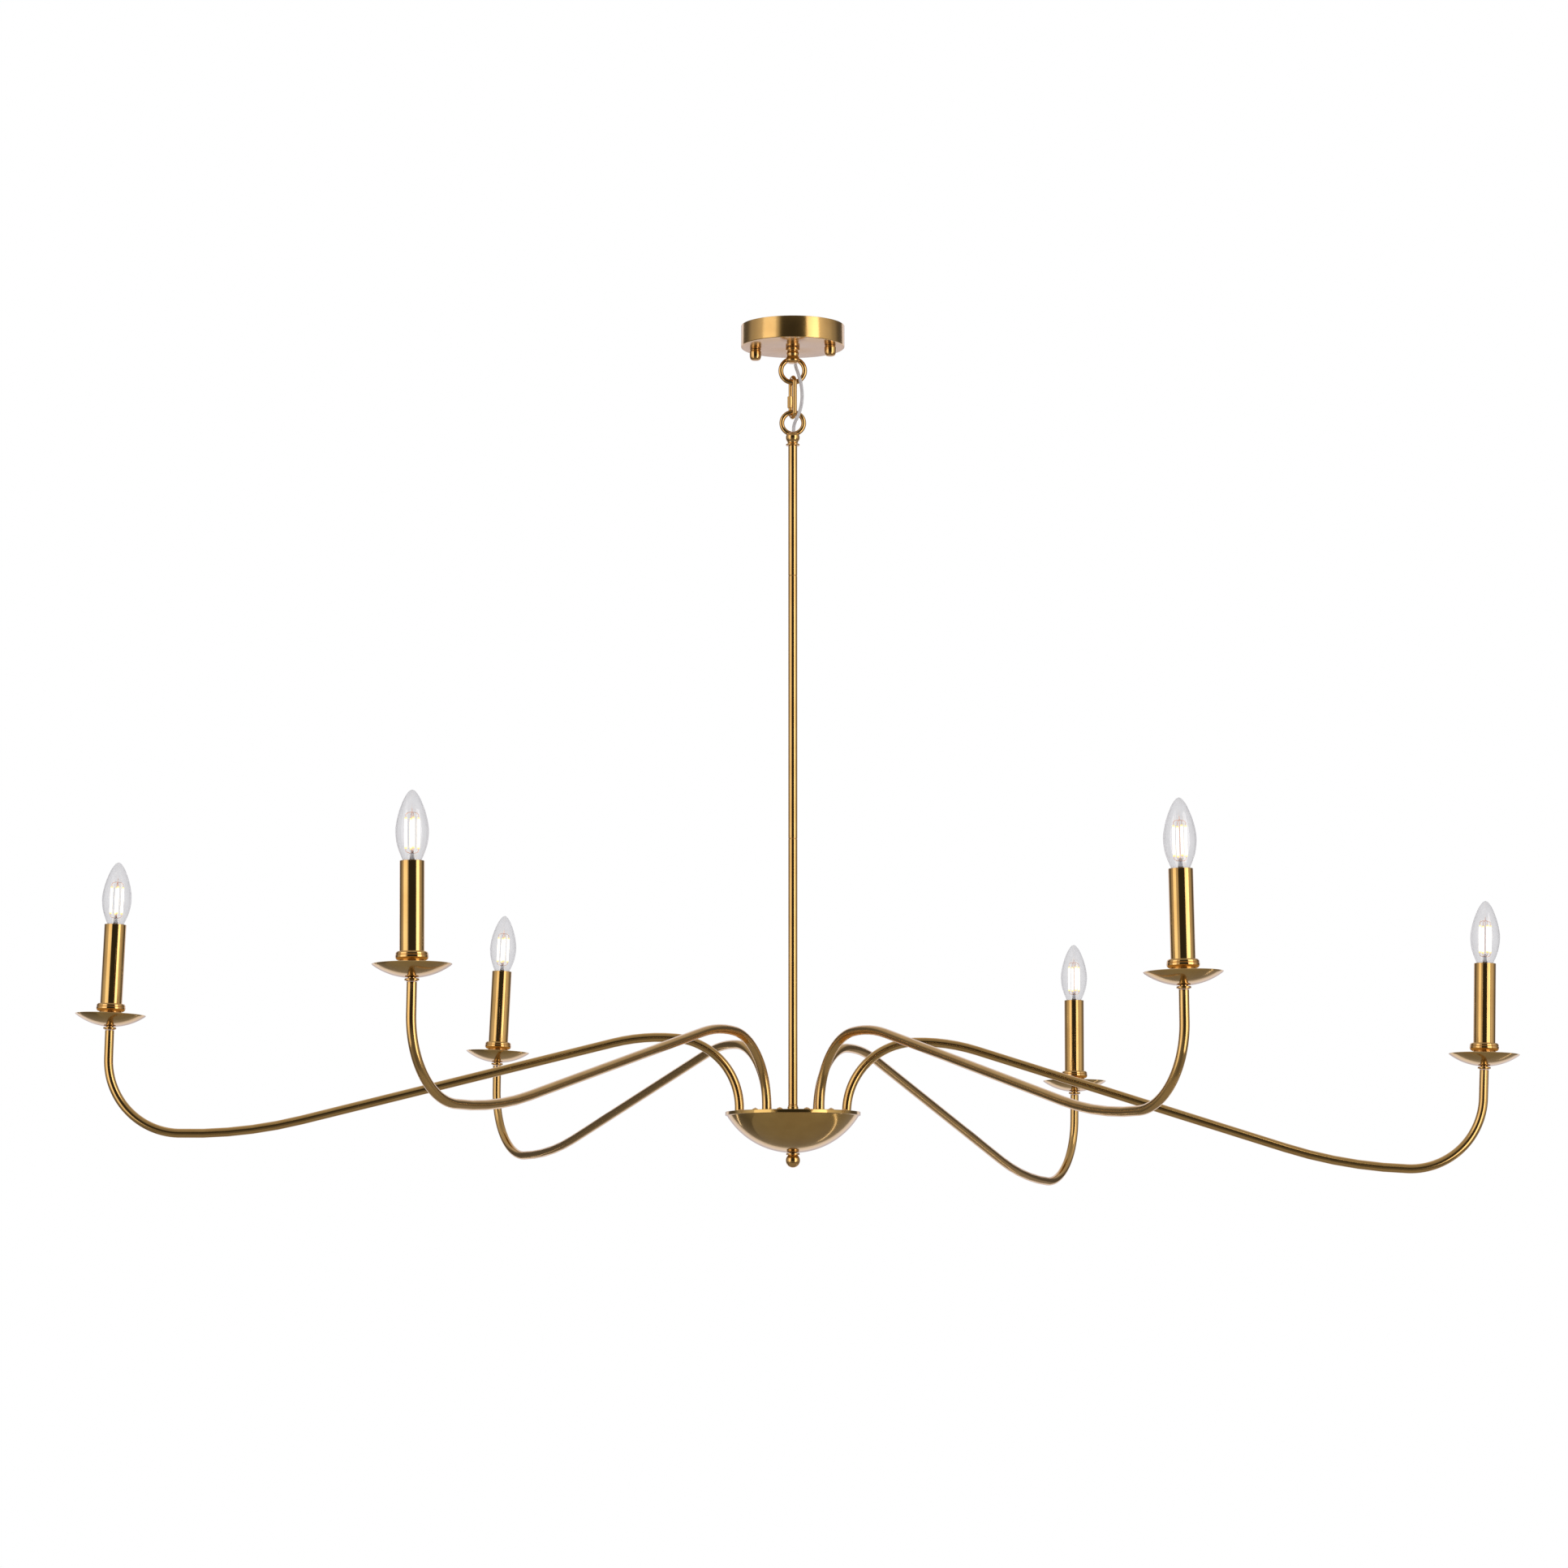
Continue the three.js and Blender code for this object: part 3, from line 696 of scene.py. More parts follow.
def studio_world():
    """White to the camera. In reflections: dark front, bright sides, dark flags behind them, white back."""
    world = bpy.data.worlds.new("studio")
    bpy.context.scene.world = world
    world.use_nodes = True
    graph = Graph(world.node_tree)
    split = graph.add("ShaderNodeSeparateXYZ")
    graph.feed(split.inputs[0], graph.add("ShaderNodeTexCoord").outputs["Generated"])
    x, y, z = split.outputs
    turn = graph.math("ARCTAN2", x, graph.math("MULTIPLY", y, -1.0))
    place = graph.math("MULTIPLY_ADD", turn, 0.5 / math.pi, 0.5)

    def ring_of_light(stops):
        node = graph.add("ShaderNodeValToRGB")
        node.color_ramp.interpolation = "EASE"
        elements = node.color_ramp.elements
        while len(elements) > 1:
            elements.remove(elements[-1])
        for index, (bearing, level) in enumerate(stops):
            at = bearing / 360 + 0.5
            element = elements[0] if index == 0 else elements.new(at)
            element.position = at
            element.color = (level, level * 0.96, level * 0.95, 1.0)
        graph.feed(node.inputs[0], place)
        return node.outputs[0]

    middle = ring_of_light(WORLD_MIDDLE)
    below = ring_of_light(WORLD_BELOW)
    above = ring_of_light(WORLD_ABOVE)
    seen = graph.mix(graph.span(z, -0.30, -0.08, 0.0, 1.0), below, middle)
    seen = graph.mix(graph.span(z, 0.35, 0.7, 0.0, 1.0), seen, above)
    seen = graph.mix(graph.span(y, 0.76, 0.82, 0.0, 1.0), seen, (0.92, 0.88, 0.92, 1.0))
    seen = graph.mix(graph.span(y, 0.90, 0.97, 0.0, 1.0), seen, (0.62, 0.57, 0.61, 1.0))
    for side, height, near, far in BACK_EDGES:
        on_side = graph.math("GREATER_THAN", graph.math("MULTIPLY", x, side), 0.0)
        in_reach = graph.math("COMPARE", y, (near + far) / 2, (far - near) / 2)
        line = graph.math("COMPARE", z, height, 0.012)
        line = graph.math("MULTIPLY", line, on_side)
        line = graph.math("MULTIPLY", line, in_reach)
        seen = graph.mix(line, seen, (1.6, 1.45, 1.3, 1.0))
    path = graph.add("ShaderNodeLightPath")
    straight = graph.math("MAXIMUM", path.outputs["Is Camera Ray"], path.outputs["Is Transmission Ray"])
    background = graph.add("ShaderNodeBackground")
    graph.feed(background.inputs["Color"], graph.mix(straight, seen, (1.0, 1.0, 1.0, 1.0)))
    output = graph.add("ShaderNodeOutputWorld")
    graph.feed(output.inputs["Surface"], background.outputs[0])


# Levels of light by bearing: 0 is towards the camera, 90 towards +X, and 180 is the back.
WORLD_MIDDLE = [
    (-180, 0.9), (-140, 0.10), (-122, 0.10), (-100, 0.45), (-70, 0.7), (-34, 0.6), (-26, 0.035),
    (36, 0.035), (50, 0.5), (66, 0.8), (85, 0.6), (105, 0.32), (122, 0.1), (140, 0.1), (180, 0.9),
]
WORLD_BELOW = [
    (-180, 0.3), (-120, 0.12), (-70, 0.26), (-30, 0.18), (0, 0.12), (30, 0.16), (90, 0.24), (180, 0.3),
]
WORLD_ABOVE = [(-180, 0.6), (-90, 0.45), (0, 0.3), (90, 0.4), (180, 0.6)]
# Thin bright edges of the backdrop low behind: (side of X, height, and from where to where along Y)
BACK_EDGES = [(1, -0.675, 0.05, 0.68), (-1, -0.45, 0.5, 0.74)]


def stage():
    """A round plain floor, a room's height under the ceiling, and the lights."""
    floor_z = -2500
    radius = 1600
    under = floor_z - 20
    outline = rounded([(0, under), (radius, under, 6), (radius, floor_z, 6), (0, floor_z)])
    mesh = lathe("floor", outline, 128)
    mesh.materials.append(pale_floor())
    floor = new_object("floor", mesh)
    softbox("right_softbox", 45.0, 2.98, -0.3, 1.5, 3.8, 1.9, (1.0, 0.96, 0.93))
    softbox("left_softbox", -53.0, 2.98, -0.3, 1.7, 3.8, 0.78, (1.0, 0.97, 0.94))
    studio_world()
    bpy.context.scene.view_settings.view_transform = "Standard"


# ---------- cord ----------


def supply_cord():
    """The clear cord as two stretches, which meet at one point of its route."""
    steps = 6
    route = through(CORD_ROUTE, steps)
    join = (CORD_JOIN - 1) * steps
    stretches = [
        ("cord_upper", route[: join + 1], "canopy", (-58, -80)),
        ("cord_lower", route[join:], "frame", (-118, -90)),
    ]
    for name, points, far_body, (far_z, link_z) in stretches:
        mesh = tube_along(name, points, CORD_RADIUS)
        obj = piece(name, mesh, jacket, None)
        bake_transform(obj)
        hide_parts("supply_cord")


# ---------- canopy ----------


def screw_places():
    return [polar(SCREW_CIRCLE_RADIUS, CROSSBAR["turn"] + side) for side in (0, 180)]


def canopy_cup():
    radius = CANOPY["radius"]
    height = CANOPY["height"]
    sheet = CANOPY["sheet"]
    outline = rounded(
        [
            (THREAD_RADIUS + GAP, -height + sheet),
            (THREAD_RADIUS + GAP, -height, 0.2),
            (radius, -height, 1.1),
            (radius, 0, 0.35),
            (radius - sheet, 0, 0.35),
            (radius - sheet, -height + sheet, 1.0),
            (THREAD_RADIUS + GAP, -height + sheet),
        ]
    )
    mesh = lathe("canopy_shell", outline[:-1], 160)
    piece("canopy_shell", mesh, canopy_brass, "canopy", ["canopy_cup"])


def outline_curve(name, loops, thickness, bevel):
    """A flat plate from closed loops of points, holes among them, with bevelled edges, as a mesh."""
    data = bpy.data.curves.new(name, "CURVE")
    data.dimensions = "2D"
    data.fill_mode = "BOTH"
    data.extrude = (thickness / 2 - bevel) * MM
    data.bevel_depth = bevel * MM
    data.bevel_resolution = 2
    data.offset = -bevel * MM
    for loop in loops:
        spline = data.splines.new("POLY")
        spline.points.add(len(loop) - 1)
        for target, point in zip(spline.points, loop):
            target.co = (point[0] * MM, point[1] * MM, 0.0, 1.0)
        spline.use_cyclic_u = True
    obj = new_object(name, data)
    depsgraph = bpy.context.evaluated_depsgraph_get()
    mesh = bpy.data.meshes.new_from_object(obj.evaluated_get(depsgraph))
    bpy.data.objects.remove(obj)
    mesh.name = name
    mesh.shade_smooth()
    mesh.set_sharp_from_angle(angle=math.radians(30))
    return mesh


def stadium(half_length, radius, x=0.0, steps=12):
    """A loop with round ends about (x, 0). Half_length is from the middle to the centre of an end."""
    points = []
    for side, start in ((1, -90), (-1, 90)):
        for step in range(steps + 1):
            spot = polar(radius, start + 180 * step / steps)
            points.append((x + side * half_length + spot.x, spot.y))
    return points


def crossbar():
    round_end = CROSSBAR["width"] / 2
    loops = [stadium(CROSSBAR["length"] / 2 - round_end, round_end), stadium(0.0, THREAD_RADIUS + GAP)]
    slot_middle = 30
    slot_half = 6
    for side in (-1, 1):
        loops.append(stadium(0.0, SCREW_RADIUS + GAP, side * SCREW_CIRCLE_RADIUS))
        loops.append(stadium(slot_half, 2.5, side * slot_middle))
    mesh = outline_curve("bracket_bar", loops, CROSSBAR["thickness"], 0.3)
    matrix = Matrix.Rotation(math.radians(CROSSBAR["turn"]), 4, "Z") @ shift(z=-CROSSBAR["thickness"] / 2)
    piece("bracket_bar", mesh, zinc, "canopy", ["crossbar"], matrix)


def bracket_screws():
    bottom = -CANOPY["height"] - CAP_NUT["height"] + 4.5
    screw = threaded("bracket_screw", SCREW_RADIUS, bottom, -GAP, SCREW_PITCH)
    lock_top = -CROSSBAR["thickness"] - GAP
    lock_nut = hexagon_nut("bracket_lock_nut", 7, lock_top - 3.2, lock_top, SCREW_RADIUS)
    for index, spot in enumerate(screw_places(), 1):
        matrix = shift(spot.x, spot.y)
        name = f"bracket_screw_{index}"
        piece(f"threaded_screw_{index}", screw, zinc, "canopy", [name], matrix)
        piece(f"lock_nut_{index}", lock_nut, zinc, "canopy", (), matrix)


def cap_nuts():
    radius = CAP_NUT["radius"]
    height = CAP_NUT["height"]
    bore = SCREW_RADIUS + GAP
    dome = [(0, 0), (3.4, 0.15), (5.3, 1.1), (6.3, 2.8), (radius, 5.2)]
    outside = through([(reach, rise - height) for reach, rise in dome], 5)
    groove = radius - 0.7
    flange = radius - 0.2
    side = [(radius, -height + 5.2), (radius, -1.9, 0.8), (groove, -1.2, 0.4), (groove, -0.7, 0.3)]
    outside += rounded(side)[1:]
    outside += rounded([(groove, -0.7), (flange, -0.5, 0.2), (flange, 0, 0.2), (bore, 0, 0.2)])[1:-1]
    inside = [(bore, 0), (bore, -height + 3.5), (0, -height + 3.5)]
    mesh = lathe("cap_nut", [*outside, *inside], 48)
    bodies = ("cap_nut_right", "cap_nut_left")
    for index, (spot, body) in enumerate(zip(screw_places(), bodies), 1):
        matrix = shift(spot.x, spot.y, -CANOPY["height"] - GAP)
        node = f"cap_nut_{index}"
        piece(f"domed_nut_{index}", mesh, polished_brass, body, [node], matrix)


def hang_loop():
    neck_top = -CANOPY["height"] - GAP
    turned = through(
        [
            (5.2, -43.5),
            (7.6, -42.4),
            (8.7, -40.2),
            (7.7, -37.4),
            (6.8, -35.4),
            (7.25, -33.2),
            (7.2, -31.8),
            (6.5, -29.8),
        ],
        5,
    )
    bead = rounded([(6.6, -29.4), (8.2, -28.6, 0.6), (8.2, neck_top, 0.5), (THREAD_RADIUS, neck_top)])
    stud = [(THREAD_RADIUS, -GAP), (0, -GAP)]
    neck = lathe("neck", [(0, -43.9), (3.4, -43.8), *turned, *bead, *stud], 48)
    ring = ring_mesh("ring", TOP_RING["radius"], RING_WIRE_RADIUS, TOP_RING["centre_z"])
    mesh = united("canopy_loop", neck, ring)
    piece("canopy_loop", mesh, polished_brass, "canopy", ["hang_loop"])
    upper_top = -CROSSBAR["thickness"] - GAP
    lower_top = -CANOPY["height"] + CANOPY["sheet"] + 4
    for name, top in (("stud_nut_upper", upper_top), ("stud_nut_lower", lower_top)):
        nut = hexagon_nut(name, 13, top - 3.4, top, THREAD_RADIUS)
        piece(name, nut, zinc, "canopy")


# ---------- link ----------


def quick_link():
    half = LINK["spacing"] / 2
    leg = LINK["high_z"] - LINK["low_z"] - LINK["spacing"]
    opening_top = LINK_OPENING["from_bow"] + LINK_OPENING["length"]
    start = (-half, 0, LINK["low_z"] + half + opening_top)
    bends = [(leg - opening_top,), (half, -180), (leg,), (half, -180), (LINK_OPENING["from_bow"],)]
    mesh = bent_tube("screw_link", BentPath(start, 90, bends), LINK["wire"], 24)
    turn = Matrix.Rotation(math.radians(LINK["turn"]), 4, "Z")
    piece("screw_link", mesh, polished_brass, "link", ["quick_link"], turn)
    bottom = LINK_NUT["bottom"]
    top = bottom + LINK_NUT["length"]
    nut = hexagon_nut("screw_link_nut", LINK_NUT["across_flats"], bottom, top, LINK_NUT["bore"])
    matrix = turn @ shift(x=-half) @ Matrix.Rotation(math.radians(30), 4, "Z")
    piece("screw_link_nut", nut, polished_brass, "link_nut", ["link_nut"], matrix)


def stem_loop():
    foot = ROD_TOP_Z + GAP / 2
    ball_z = -131
    stud = [(0, foot - 14), (THREAD_RADIUS, foot - 14), (THREAD_RADIUS, foot)]
    skirt_top = (7.9, foot + 1.3)
    skirt = rounded([(THREAD_RADIUS, foot), (7.9, foot, 0.3), (8.1, foot + 0.9, 0.3), skirt_top])[1:]
    narrows = [(6.7, foot + 2.3), (6.1, -137.2), (6.3, ball_z - 5.0), (7.2, ball_z - 3.7)]
    waist = through([skirt_top, *narrows], 4)[1:]
    ball = arc(ball_z, 8.1, -22, 38, 10)
    crown = through([(5.0, ball_z + 5.7), (2.6, ball_z + 6.5), (0, ball_z + 6.7)], 3)
    neck = lathe("neck", [*stud, *skirt, *waist, *ball, *crown], 48)
    ring = ring_mesh("ring", STEM_RING["radius"], RING_WIRE_RADIUS, STEM_RING["centre_z"])
    mesh = united("rod_loop", neck, ring)
    piece("rod_loop", mesh, polished_brass, "frame", ["stem_loop"])


# ---------- rod and hub ----------


def rods():
    top = ROD_TOP_Z
    for name, length in ROD_LENGTHS.items():
        high = top - GAP / 2
        low = top - length + GAP / 2
        spigot = 12 if name != "rod_bottom" else 0
        outline = []
        if spigot:
            outline += [(THREAD_BORE, low - spigot), (THREAD_RADIUS, low - spigot), (THREAD_RADIUS, low)]
        else:
            outline += [(TUBE_BORE, low)]
        wall = [(TUBE_RADIUS, low, 0.45), (TUBE_RADIUS, high, 0.45), (TUBE_BORE, high)]
        outline += rounded([outline[-1], *wall])[1:]
        if spigot:
            outline += [(TUBE_BORE, low + 3), (THREAD_BORE, low + 2)]
        mesh = lathe(name + "_tube", outline, 48)
        piece(name + "_tube", mesh, fine_brass, "frame", [name])
        top -= length


def hub_plate():
    plate_top = RIM_Z - PLATE["drop"]
    plate_bottom = plate_top - PLATE["thickness"]
    bore = THREAD_RADIUS + GAP
    boss = PLATE["boss"]
    outline = rounded(
        [
            (bore, ROD_FOOT_Z),
            (bore, plate_bottom),
            (PLATE["radius"], plate_bottom, 0.5),
            (PLATE["radius"], plate_top, 0.5),
            (boss, plate_top, 1.2),
            (boss, ROD_FOOT_Z - 1.8, 0.5),
            (boss - 0.5, ROD_FOOT_Z - 1.4, 0.2),
            (boss - 0.5, ROD_FOOT_Z, 0.4),
            (bore, ROD_FOOT_Z),
        ]
    )
    mesh = lathe("arm_plate", outline[:-1], 128)
    piece("arm_plate", mesh, satin_brass, "frame", ["hub_plate"])
    head_radius = 3.7
    shoulder = (head_radius, plate_top + 2.6, 1.6)
    dome = [(0, plate_top), (head_radius, plate_top, 0.3), shoulder, (0, plate_top + 4.6)]
    head = lathe("head", rounded(dome), 28)
    heads = []
    for number in ARMS:
        for side in (-15, 15):
            spot = polar(ARM_CIRCLE_RADIUS, bearing_of(number) + side)
            heads.append((head, shift(spot.x, spot.y)))
    mesh = joined("plate_screw_heads", heads)
    piece("plate_screw_heads", mesh, polished_brass, "frame")


def hub_bowl():
    lip_bottom = RIM_Z - BOWL["lip"]
    centre_z = lip_bottom + math.sqrt(BOWL["sphere"] ** 2 - BOWL["shell"] ** 2)
    outer = BOWL["sphere"]
    inner = outer - BOWL["sheet"]
    hole = THREAD_RADIUS + GAP
    lip_inner = BOWL["rim"] - 3.4

    lip = rounded(
        [
            (BOWL["shell"], lip_bottom),
            (BOWL["rim"], lip_bottom + 0.4, 0.5),
            (BOWL["rim"], RIM_Z, 0.7),
            (lip_inner, RIM_Z, 0.7),
            (lip_inner, lip_bottom),
        ]
    )
    outline = arc(centre_z, outer, angle_at(outer, hole), angle_at(outer, BOWL["shell"]), 40) + lip[1:-1]
    outline += arc(centre_z, inner, angle_at(inner, lip_inner), angle_at(inner, hole), 40)
    mesh = lathe("bowl_shell", outline, 160)
    piece("bowl_shell", mesh, spun_brass, "bowl", ["hub_bowl"])
    return centre_z - outer


def centre_tube(bowl_bottom):
    bottom = bowl_bottom - 6.5
    top = ROD_FOOT_Z + 17
    tube = threaded("threaded_tube", THREAD_RADIUS, bottom, top, 1.0, THREAD_BORE, 0.07)
    piece("threaded_tube", tube, zinc, "frame", ["centre_tube"])
    plate_bottom = RIM_Z - PLATE["drop"] - PLATE["thickness"]
    nut = hexagon_nut("hub_nut", 14, plate_bottom - 4 - GAP, plate_bottom - GAP, THREAD_RADIUS)
    piece("hub_nut", nut, zinc, "frame")


def finial(bowl_bottom):
    top = bowl_bottom - GAP
    collar_bottom = top - FINIAL["collar_height"]
    ball = FINIAL["ball"]
    ball_z = top - ball
    bore = THREAD_RADIUS + GAP
    join = 46  # degrees above the ball's middle at which the neck starts
    collar = rounded(
        [
            (ball * math.cos(math.radians(join)), ball_z + ball * math.sin(math.radians(join))),
            (6.0, collar_bottom, 0.3),
            (FINIAL["collar"], collar_bottom, 0.5),
            (FINIAL["collar"], top, 0.6),
            (bore, top),
        ]
    )
    bore_end = bowl_bottom - 7.5
    outline = [*arc(ball_z, ball, -90, join, 24), *collar[1:], (bore, bore_end), (0, bore_end)]
    outline[0] = Vector((0, ball_z - ball))
    mesh = lathe("ball_finial", outline, 64)
    piece("ball_finial", mesh, polished_brass, "bowl", ["finial"])


# ---------- arms ----------


def joint(name):
    return next(entry for entry in frame["joints"] if entry["name"] == name)


def bearing_of(number):
    """The direction of an arm from the rod, in degrees from +X."""
    x, y, _ = joint(f"arm_{number}_swivel")["pos_m"]
    return math.degrees(math.atan2(y, x))


arm_path = BentPath((0, 0, -ARM_FOOT_DEPTH), 90, ARM_BENDS)


def arm_matrix(number):
    lift = Matrix.Rotation(-math.radians(ARM_LIFTS[number - 1]), 4, "Y")
    bearing = Matrix.Rotation(math.radians(bearing_of(number)), 4, "Z")
    return bearing @ shift(ARM_CIRCLE_RADIUS, 0, RIM_Z) @ lift


def candle_matrix(number):
    """The end of the arm, with Z along the candle."""
    x, _, z = joint(f"bulb_{number}_out")["axis"]
    end, _ = arm_path.at(arm_path.length)
    return Matrix.Translation(arm_matrix(number) @ (end * MM)) @ Matrix.Rotation(math.atan2(x, z), 4, "Y")


def arms():
    tube = bent_tube("bent_arm", arm_path, TUBE_RADIUS, 40, TUBE_BORE)
    nut_top = -PLATE["drop"] - PLATE["thickness"] - GAP
    nut = hexagon_nut("arm_nut", 13, nut_top - 3, nut_top, TUBE_RADIUS)
    for number in ARMS:
        body = f"arm_{number}"
        matrix = arm_matrix(number)
        piece(f"bent_arm_{number}", tube, satin_brass, body, [f"arm_tube_{number}"], matrix)
        piece(f"arm_nut_{number}", nut, zinc, body, (), matrix)


# ---------- candle ----------


def collar_mesh():
    bottom = COLLAR["bottom"]
    top = COLLAR["top"]
    radius = COLLAR["radius"]
    flange = rounded(
        [
            (0, bottom),
            (radius - 1.6, bottom, 0.3),
            (radius - 1.6, bottom + 0.7, 0.2),
            (radius, bottom + 0.9, 0.6),
            (radius, top - 0.5, 0.8),
            (THREAD_RADIUS, top),
        ]
    )
    return lathe("seat_collar", [*flange, (THREAD_RADIUS, COLLAR["stud_top"]), (0, COLLAR["stud_top"])], 48)


def dish_mesh():
    depth = DISH["rim"] - DISH["bottom"]
    sphere = (DISH["radius"] ** 2 + depth**2) / (2 * depth)
    inner = sphere - DISH["sheet"]
    centre_z = DISH["bottom"] + sphere
    hole = THREAD_RADIUS + GAP

    outside = arc(centre_z, sphere, angle_at(sphere, hole), angle_at(sphere, DISH["radius"]), 28)
    inside = arc(centre_z, inner, angle_at(inner, DISH["radius"] - 1.0), angle_at(inner, hole), 28)
    tip = (outside[-1] + inside[0]) / 2 + Vector((0.1, 0.12))
    return lathe("spun_dish", [*outside[:-1], outside[-1] * 0.5 + tip * 0.5, tip, *inside], 96, 50)


def cup_mesh():
    hole = THREAD_RADIUS + GAP
    seat = SLEEVE["radius"] + GAP
    top = CUP["top"]
    floor = CUP["floor"]
    wide = CUP["radius"]
    outline = rounded(
        [
            (hole, CUP["foot"]),
            (9, CUP["foot"], 0.4),
            (13.8, CUP["foot"] + 8, 1.0),
            (13.8, floor - 2.2, 0.7),
            (12.9, floor - 1.5, 0.3),
            (12.9, floor - 0.9, 0.3),
            (15.4, floor + 0.2, 0.6),
            (wide - 0.1, floor + 2.0, 1.2),
            (wide, floor + 4.3, 0.8),
            (wide - 0.55, floor + 4.75, 0.15),
            (wide - 0.2, floor + 5.2, 0.5),
            (wide - 0.5, floor + 6.9, 1.0),
            (wide - 1.5, top, 0.7),
            (seat, top, 0.3),
            (seat, floor),
            (hole, floor),
        ]
    )
    return lathe("turned_cup", outline, 72, 28)


def sleeve_mesh():
    radius = SLEEVE["radius"]
    inner = radius - SLEEVE["wall"]
    bottom = CUP["floor"] + GAP
    top = SLEEVE["top"]
    outline = rounded(
        [(inner, bottom), (radius, bottom, 0.2), (radius, top, 0.3), (inner, top, 0.3), (inner, bottom)]
    )
    return lathe("brass_sleeve", outline[:-1], 72)


def socket_mesh():
    foot = COLLAR["stud_top"] + GAP
    stem = SOCKET["stem"]
    low = SOCKET["body_bottom"]
    high = SOCKET["body_top"]
    radius = SOCKET["radius"]
    groove = radius - 1.2
    outline = rounded(
        [(0, foot), (stem, foot, 0.5), (stem, low, 0.5), (groove, low, 0.8), (groove, low + 6)]
    )
    for ring in range(3):
        z = low + 6 + ring * 11.5
        outline += rounded([(groove, z), (radius, z + 1, 0.5), (radius, z + 10, 0.5), (groove, z + 11)])[1:]
    outline += rounded(
        [
            (groove, high - 1.5),
            (groove, high, 0.5),
            (SOCKET["bore"], high, 0.4),
            (SOCKET["bore"], SOCKET["bore_bottom"], 0.4),
            (0, SOCKET["bore_bottom"]),
        ]
    )[1:]
    return lathe("candle_socket", outline, 48)


def bulb_outline():
    """The outside of the glass as (radius, height above the sleeve)."""
    return through(
        [
            (5.6, -4.9),
            (6.9, -2.9),
            (9.1, 0),
            (13.0, 9.3),
            (15.7, 18.6),
            (16.8, 30),
            (15.6, 40.4),
            (12.6, 51.8),
            (8.2, 62.7),
            (5.2, 67.6),
            (2.6, 70.6),
            (0.0, 71.7),
        ],
        6,
    )


def glass_mesh():
    top = SLEEVE["top"]
    wall = BULB["glass"]
    outside = bulb_outline()
    inside = []
    for before, point, after in zip(outside, outside[1:], outside[2:]):
        tangent = (after - before).normalized()
        inner = point + Vector((-tangent.y, tangent.x)) * wall
        if inner.x > 0.3:
            inside.append(inner)
    inside.append(Vector((0, outside[-1].y - wall)))
    outline = [*outside, *reversed(inside)]
    outline = [Vector((max(point.x, 0), point.y + top)) for point in outline]
    return skin("bulb_glass", revolve_between(outline, 64), 60)


def revolve_between(outline, segments):
    """Rings of a closed shell whose outline all but touches the axis at its tip, outside and inside."""
    pinhole = 0.02  # in place of a single point, so that every ring has as many points
    radii = [pinhole if point.x < 1e-6 else point.x for point in outline]
    rings = [circle(radius, point.y, segments) for radius, point in zip(radii, outline)]
    return [*rings, rings[0]]


def cap_mesh():
    """The bulb's screw cap, with its rolled thread and centre contact."""
    bottom = BULB["base_bottom"]
    top = BULB["base_top"]
    radius = BULB["base_radius"]
    segments = 40
    pitch = 2.8
    rings = [[Vector((0, 0, bottom))]]
    for reach, z in ((1.6, bottom), (2.2, bottom + 0.5), (2.4, bottom + 1.6), (4.6, bottom + 2.6)):
        rings.append(circle(reach, z, segments))
    rows = 48
    for row in range(rows + 1):
        z = bottom + 3.2 + (top - bottom - 3.2) * row / rows
        fade = min(1.0, (top - z) / 4)
        ring = []
        for k in range(segments):
            wave = math.cos(2 * math.pi * (z / pitch - k / segments))
            ring.append(polar(radius - 0.45 * fade * (1 - wave) / 2, 360 * k / segments, z))
        rings.append(ring)
    rings.append([Vector((0, 0, top))])
    return skin("screw_cap", rings, 50)


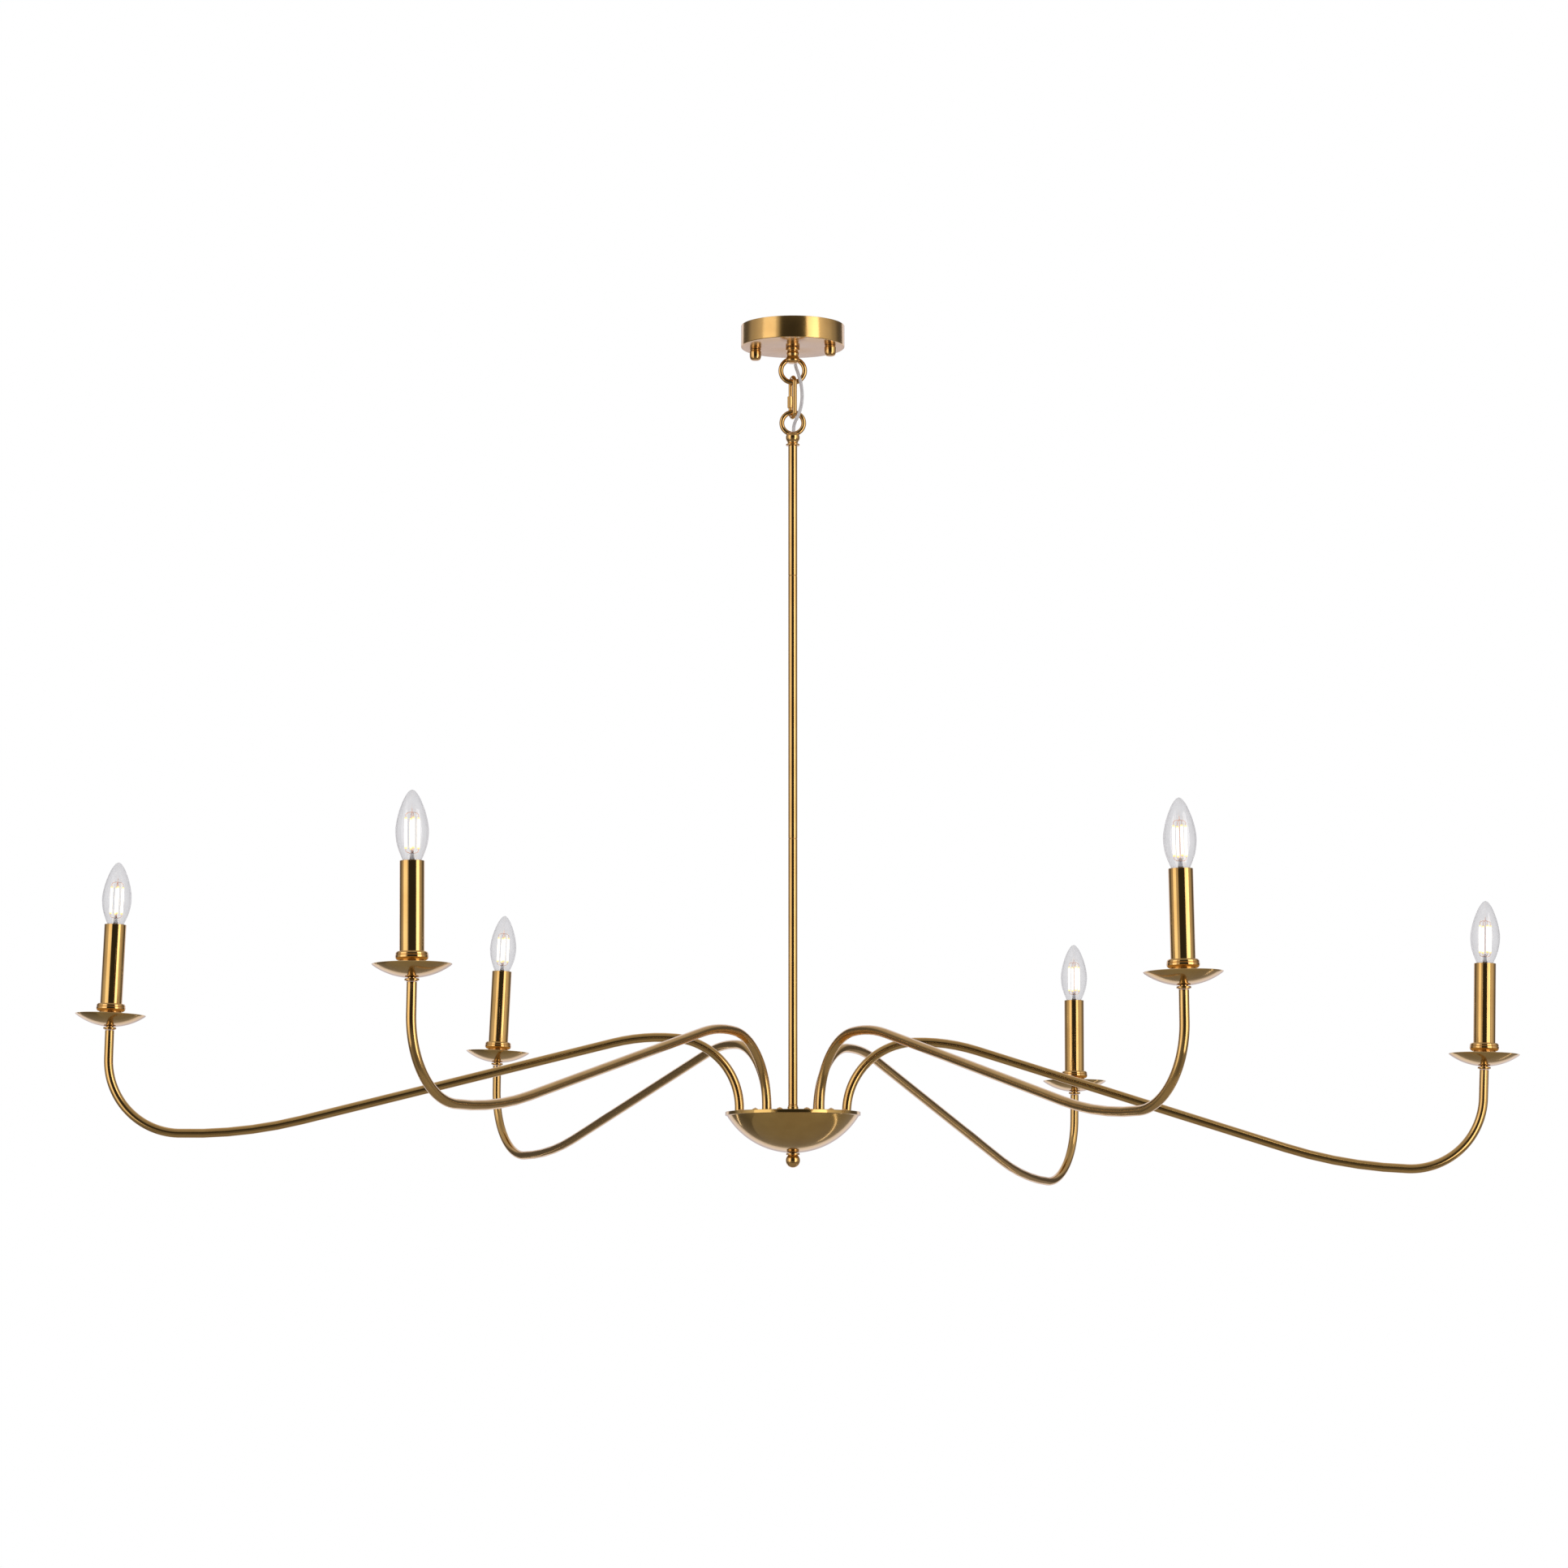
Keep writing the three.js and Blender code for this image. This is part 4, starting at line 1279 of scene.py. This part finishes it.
def filament_meshes():
    """The lit sticks, and the wires that hold them between the glass stem and the top hooks."""
    top = SLEEVE["top"]
    low = top + FILAMENT["bottom"]
    high = top + FILAMENT["top"]
    radius = FILAMENT["radius"]
    stick = lathe("stick", rounded([(0, low), (radius, low, 0.5), (radius, high, 0.5), (0, high)]), 16)
    sticks = []
    wires = []
    hub_high = Vector((0, 0, high + 5.5))
    hub_low = Vector((0, 0, low - 4.5))
    for index in range(FILAMENT["count"]):
        place = polar(FILAMENT["circle"], FILAMENT["turn"] + 360 * index / FILAMENT["count"])
        sticks.append((stick, shift(place.x, place.y)))
        for hub, heights in (
            (hub_high, (high + 4.6, high + 3.2, high + 0.1)),
            (hub_low, (low - 3.6, low - 2.4, low - 0.1)),
        ):
            shoulder, bend, end = [place + Vector((0, 0, z)) for z in heights]
            points = [hub, hub.lerp(shoulder, 0.55), bend, end]
            wires.append((tube_along("wire", through(points, 5), 0.28, 8), Matrix.Identity(4)))
    hook = [hub_high + Vector((0, 0, 3)), hub_high, hub_low]
    wires.append((tube_along("wire", through(hook, 4), 0.3, 8), Matrix.Identity(4)))
    return joined("led_sticks", sticks), joined("lead_wires", wires)


def stem_mesh():
    """The pressed glass stem that carries the leads into the bulb."""
    top = SLEEVE["top"]
    foot = [(0, -4.0), (4.2, -3.8), (3.6, -1.5), (2.6, 2.0)]
    outline = through([*foot, (2.0, 6.0), (1.5, 9.6), (0.7, 10.6), (0, 10.9)], 4)
    return lathe("glass_stem", [Vector((max(p.x, 0), p.y + top)) for p in outline], 32, 60)


def candles():
    sticks, leads = filament_meshes()
    parts = [
        ("seat_collar", collar_mesh(), polished_brass, "arm", "polished_brass", "arm_collar"),
        ("spun_dish", dish_mesh(), spun_brass, "arm", "satin_brass", "drip_dish"),
        ("turned_cup", cup_mesh(), polished_brass, "arm", "polished_brass", "candle_cup"),
        ("brass_sleeve", sleeve_mesh(), fine_brass, "arm", "satin_brass", "candle_sleeve"),
        ("candle_socket", socket_mesh(), plastic, "arm", "socket_plastic", "lamp_socket"),
        ("bulb_glass", glass_mesh(), glass, "bulb", "clear_glass", "bulb"),
        ("screw_cap", cap_mesh(), zinc, "bulb", "zinc_steel", None),
        ("glass_stem", stem_mesh(), glass, "bulb", "clear_glass", None),
        ("led_sticks", sticks, filament_glow, "bulb", "clear_glass", None),
        ("lead_wires", leads, copper, "bulb", "zinc_steel", None),
    ]
    for number in ARMS:
        matrix = candle_matrix(number)
        for name, mesh, material, body, slot, node in parts:
            nodes = [f"{node}_{number}"] if node else ()
            piece(f"{name}_{number}", mesh, material, f"{body}_{number}", nodes, matrix)


# ---------- making ----------

camera()
supply_cord()
stage()
canopy_cup()
crossbar()
bracket_screws()
cap_nuts()
hang_loop()
quick_link()
stem_loop()
rods()
hub_plate()
bowl_bottom_z = hub_bowl()
centre_tube(bowl_bottom_z)
finial(bowl_bottom_z)
arms()
candles()
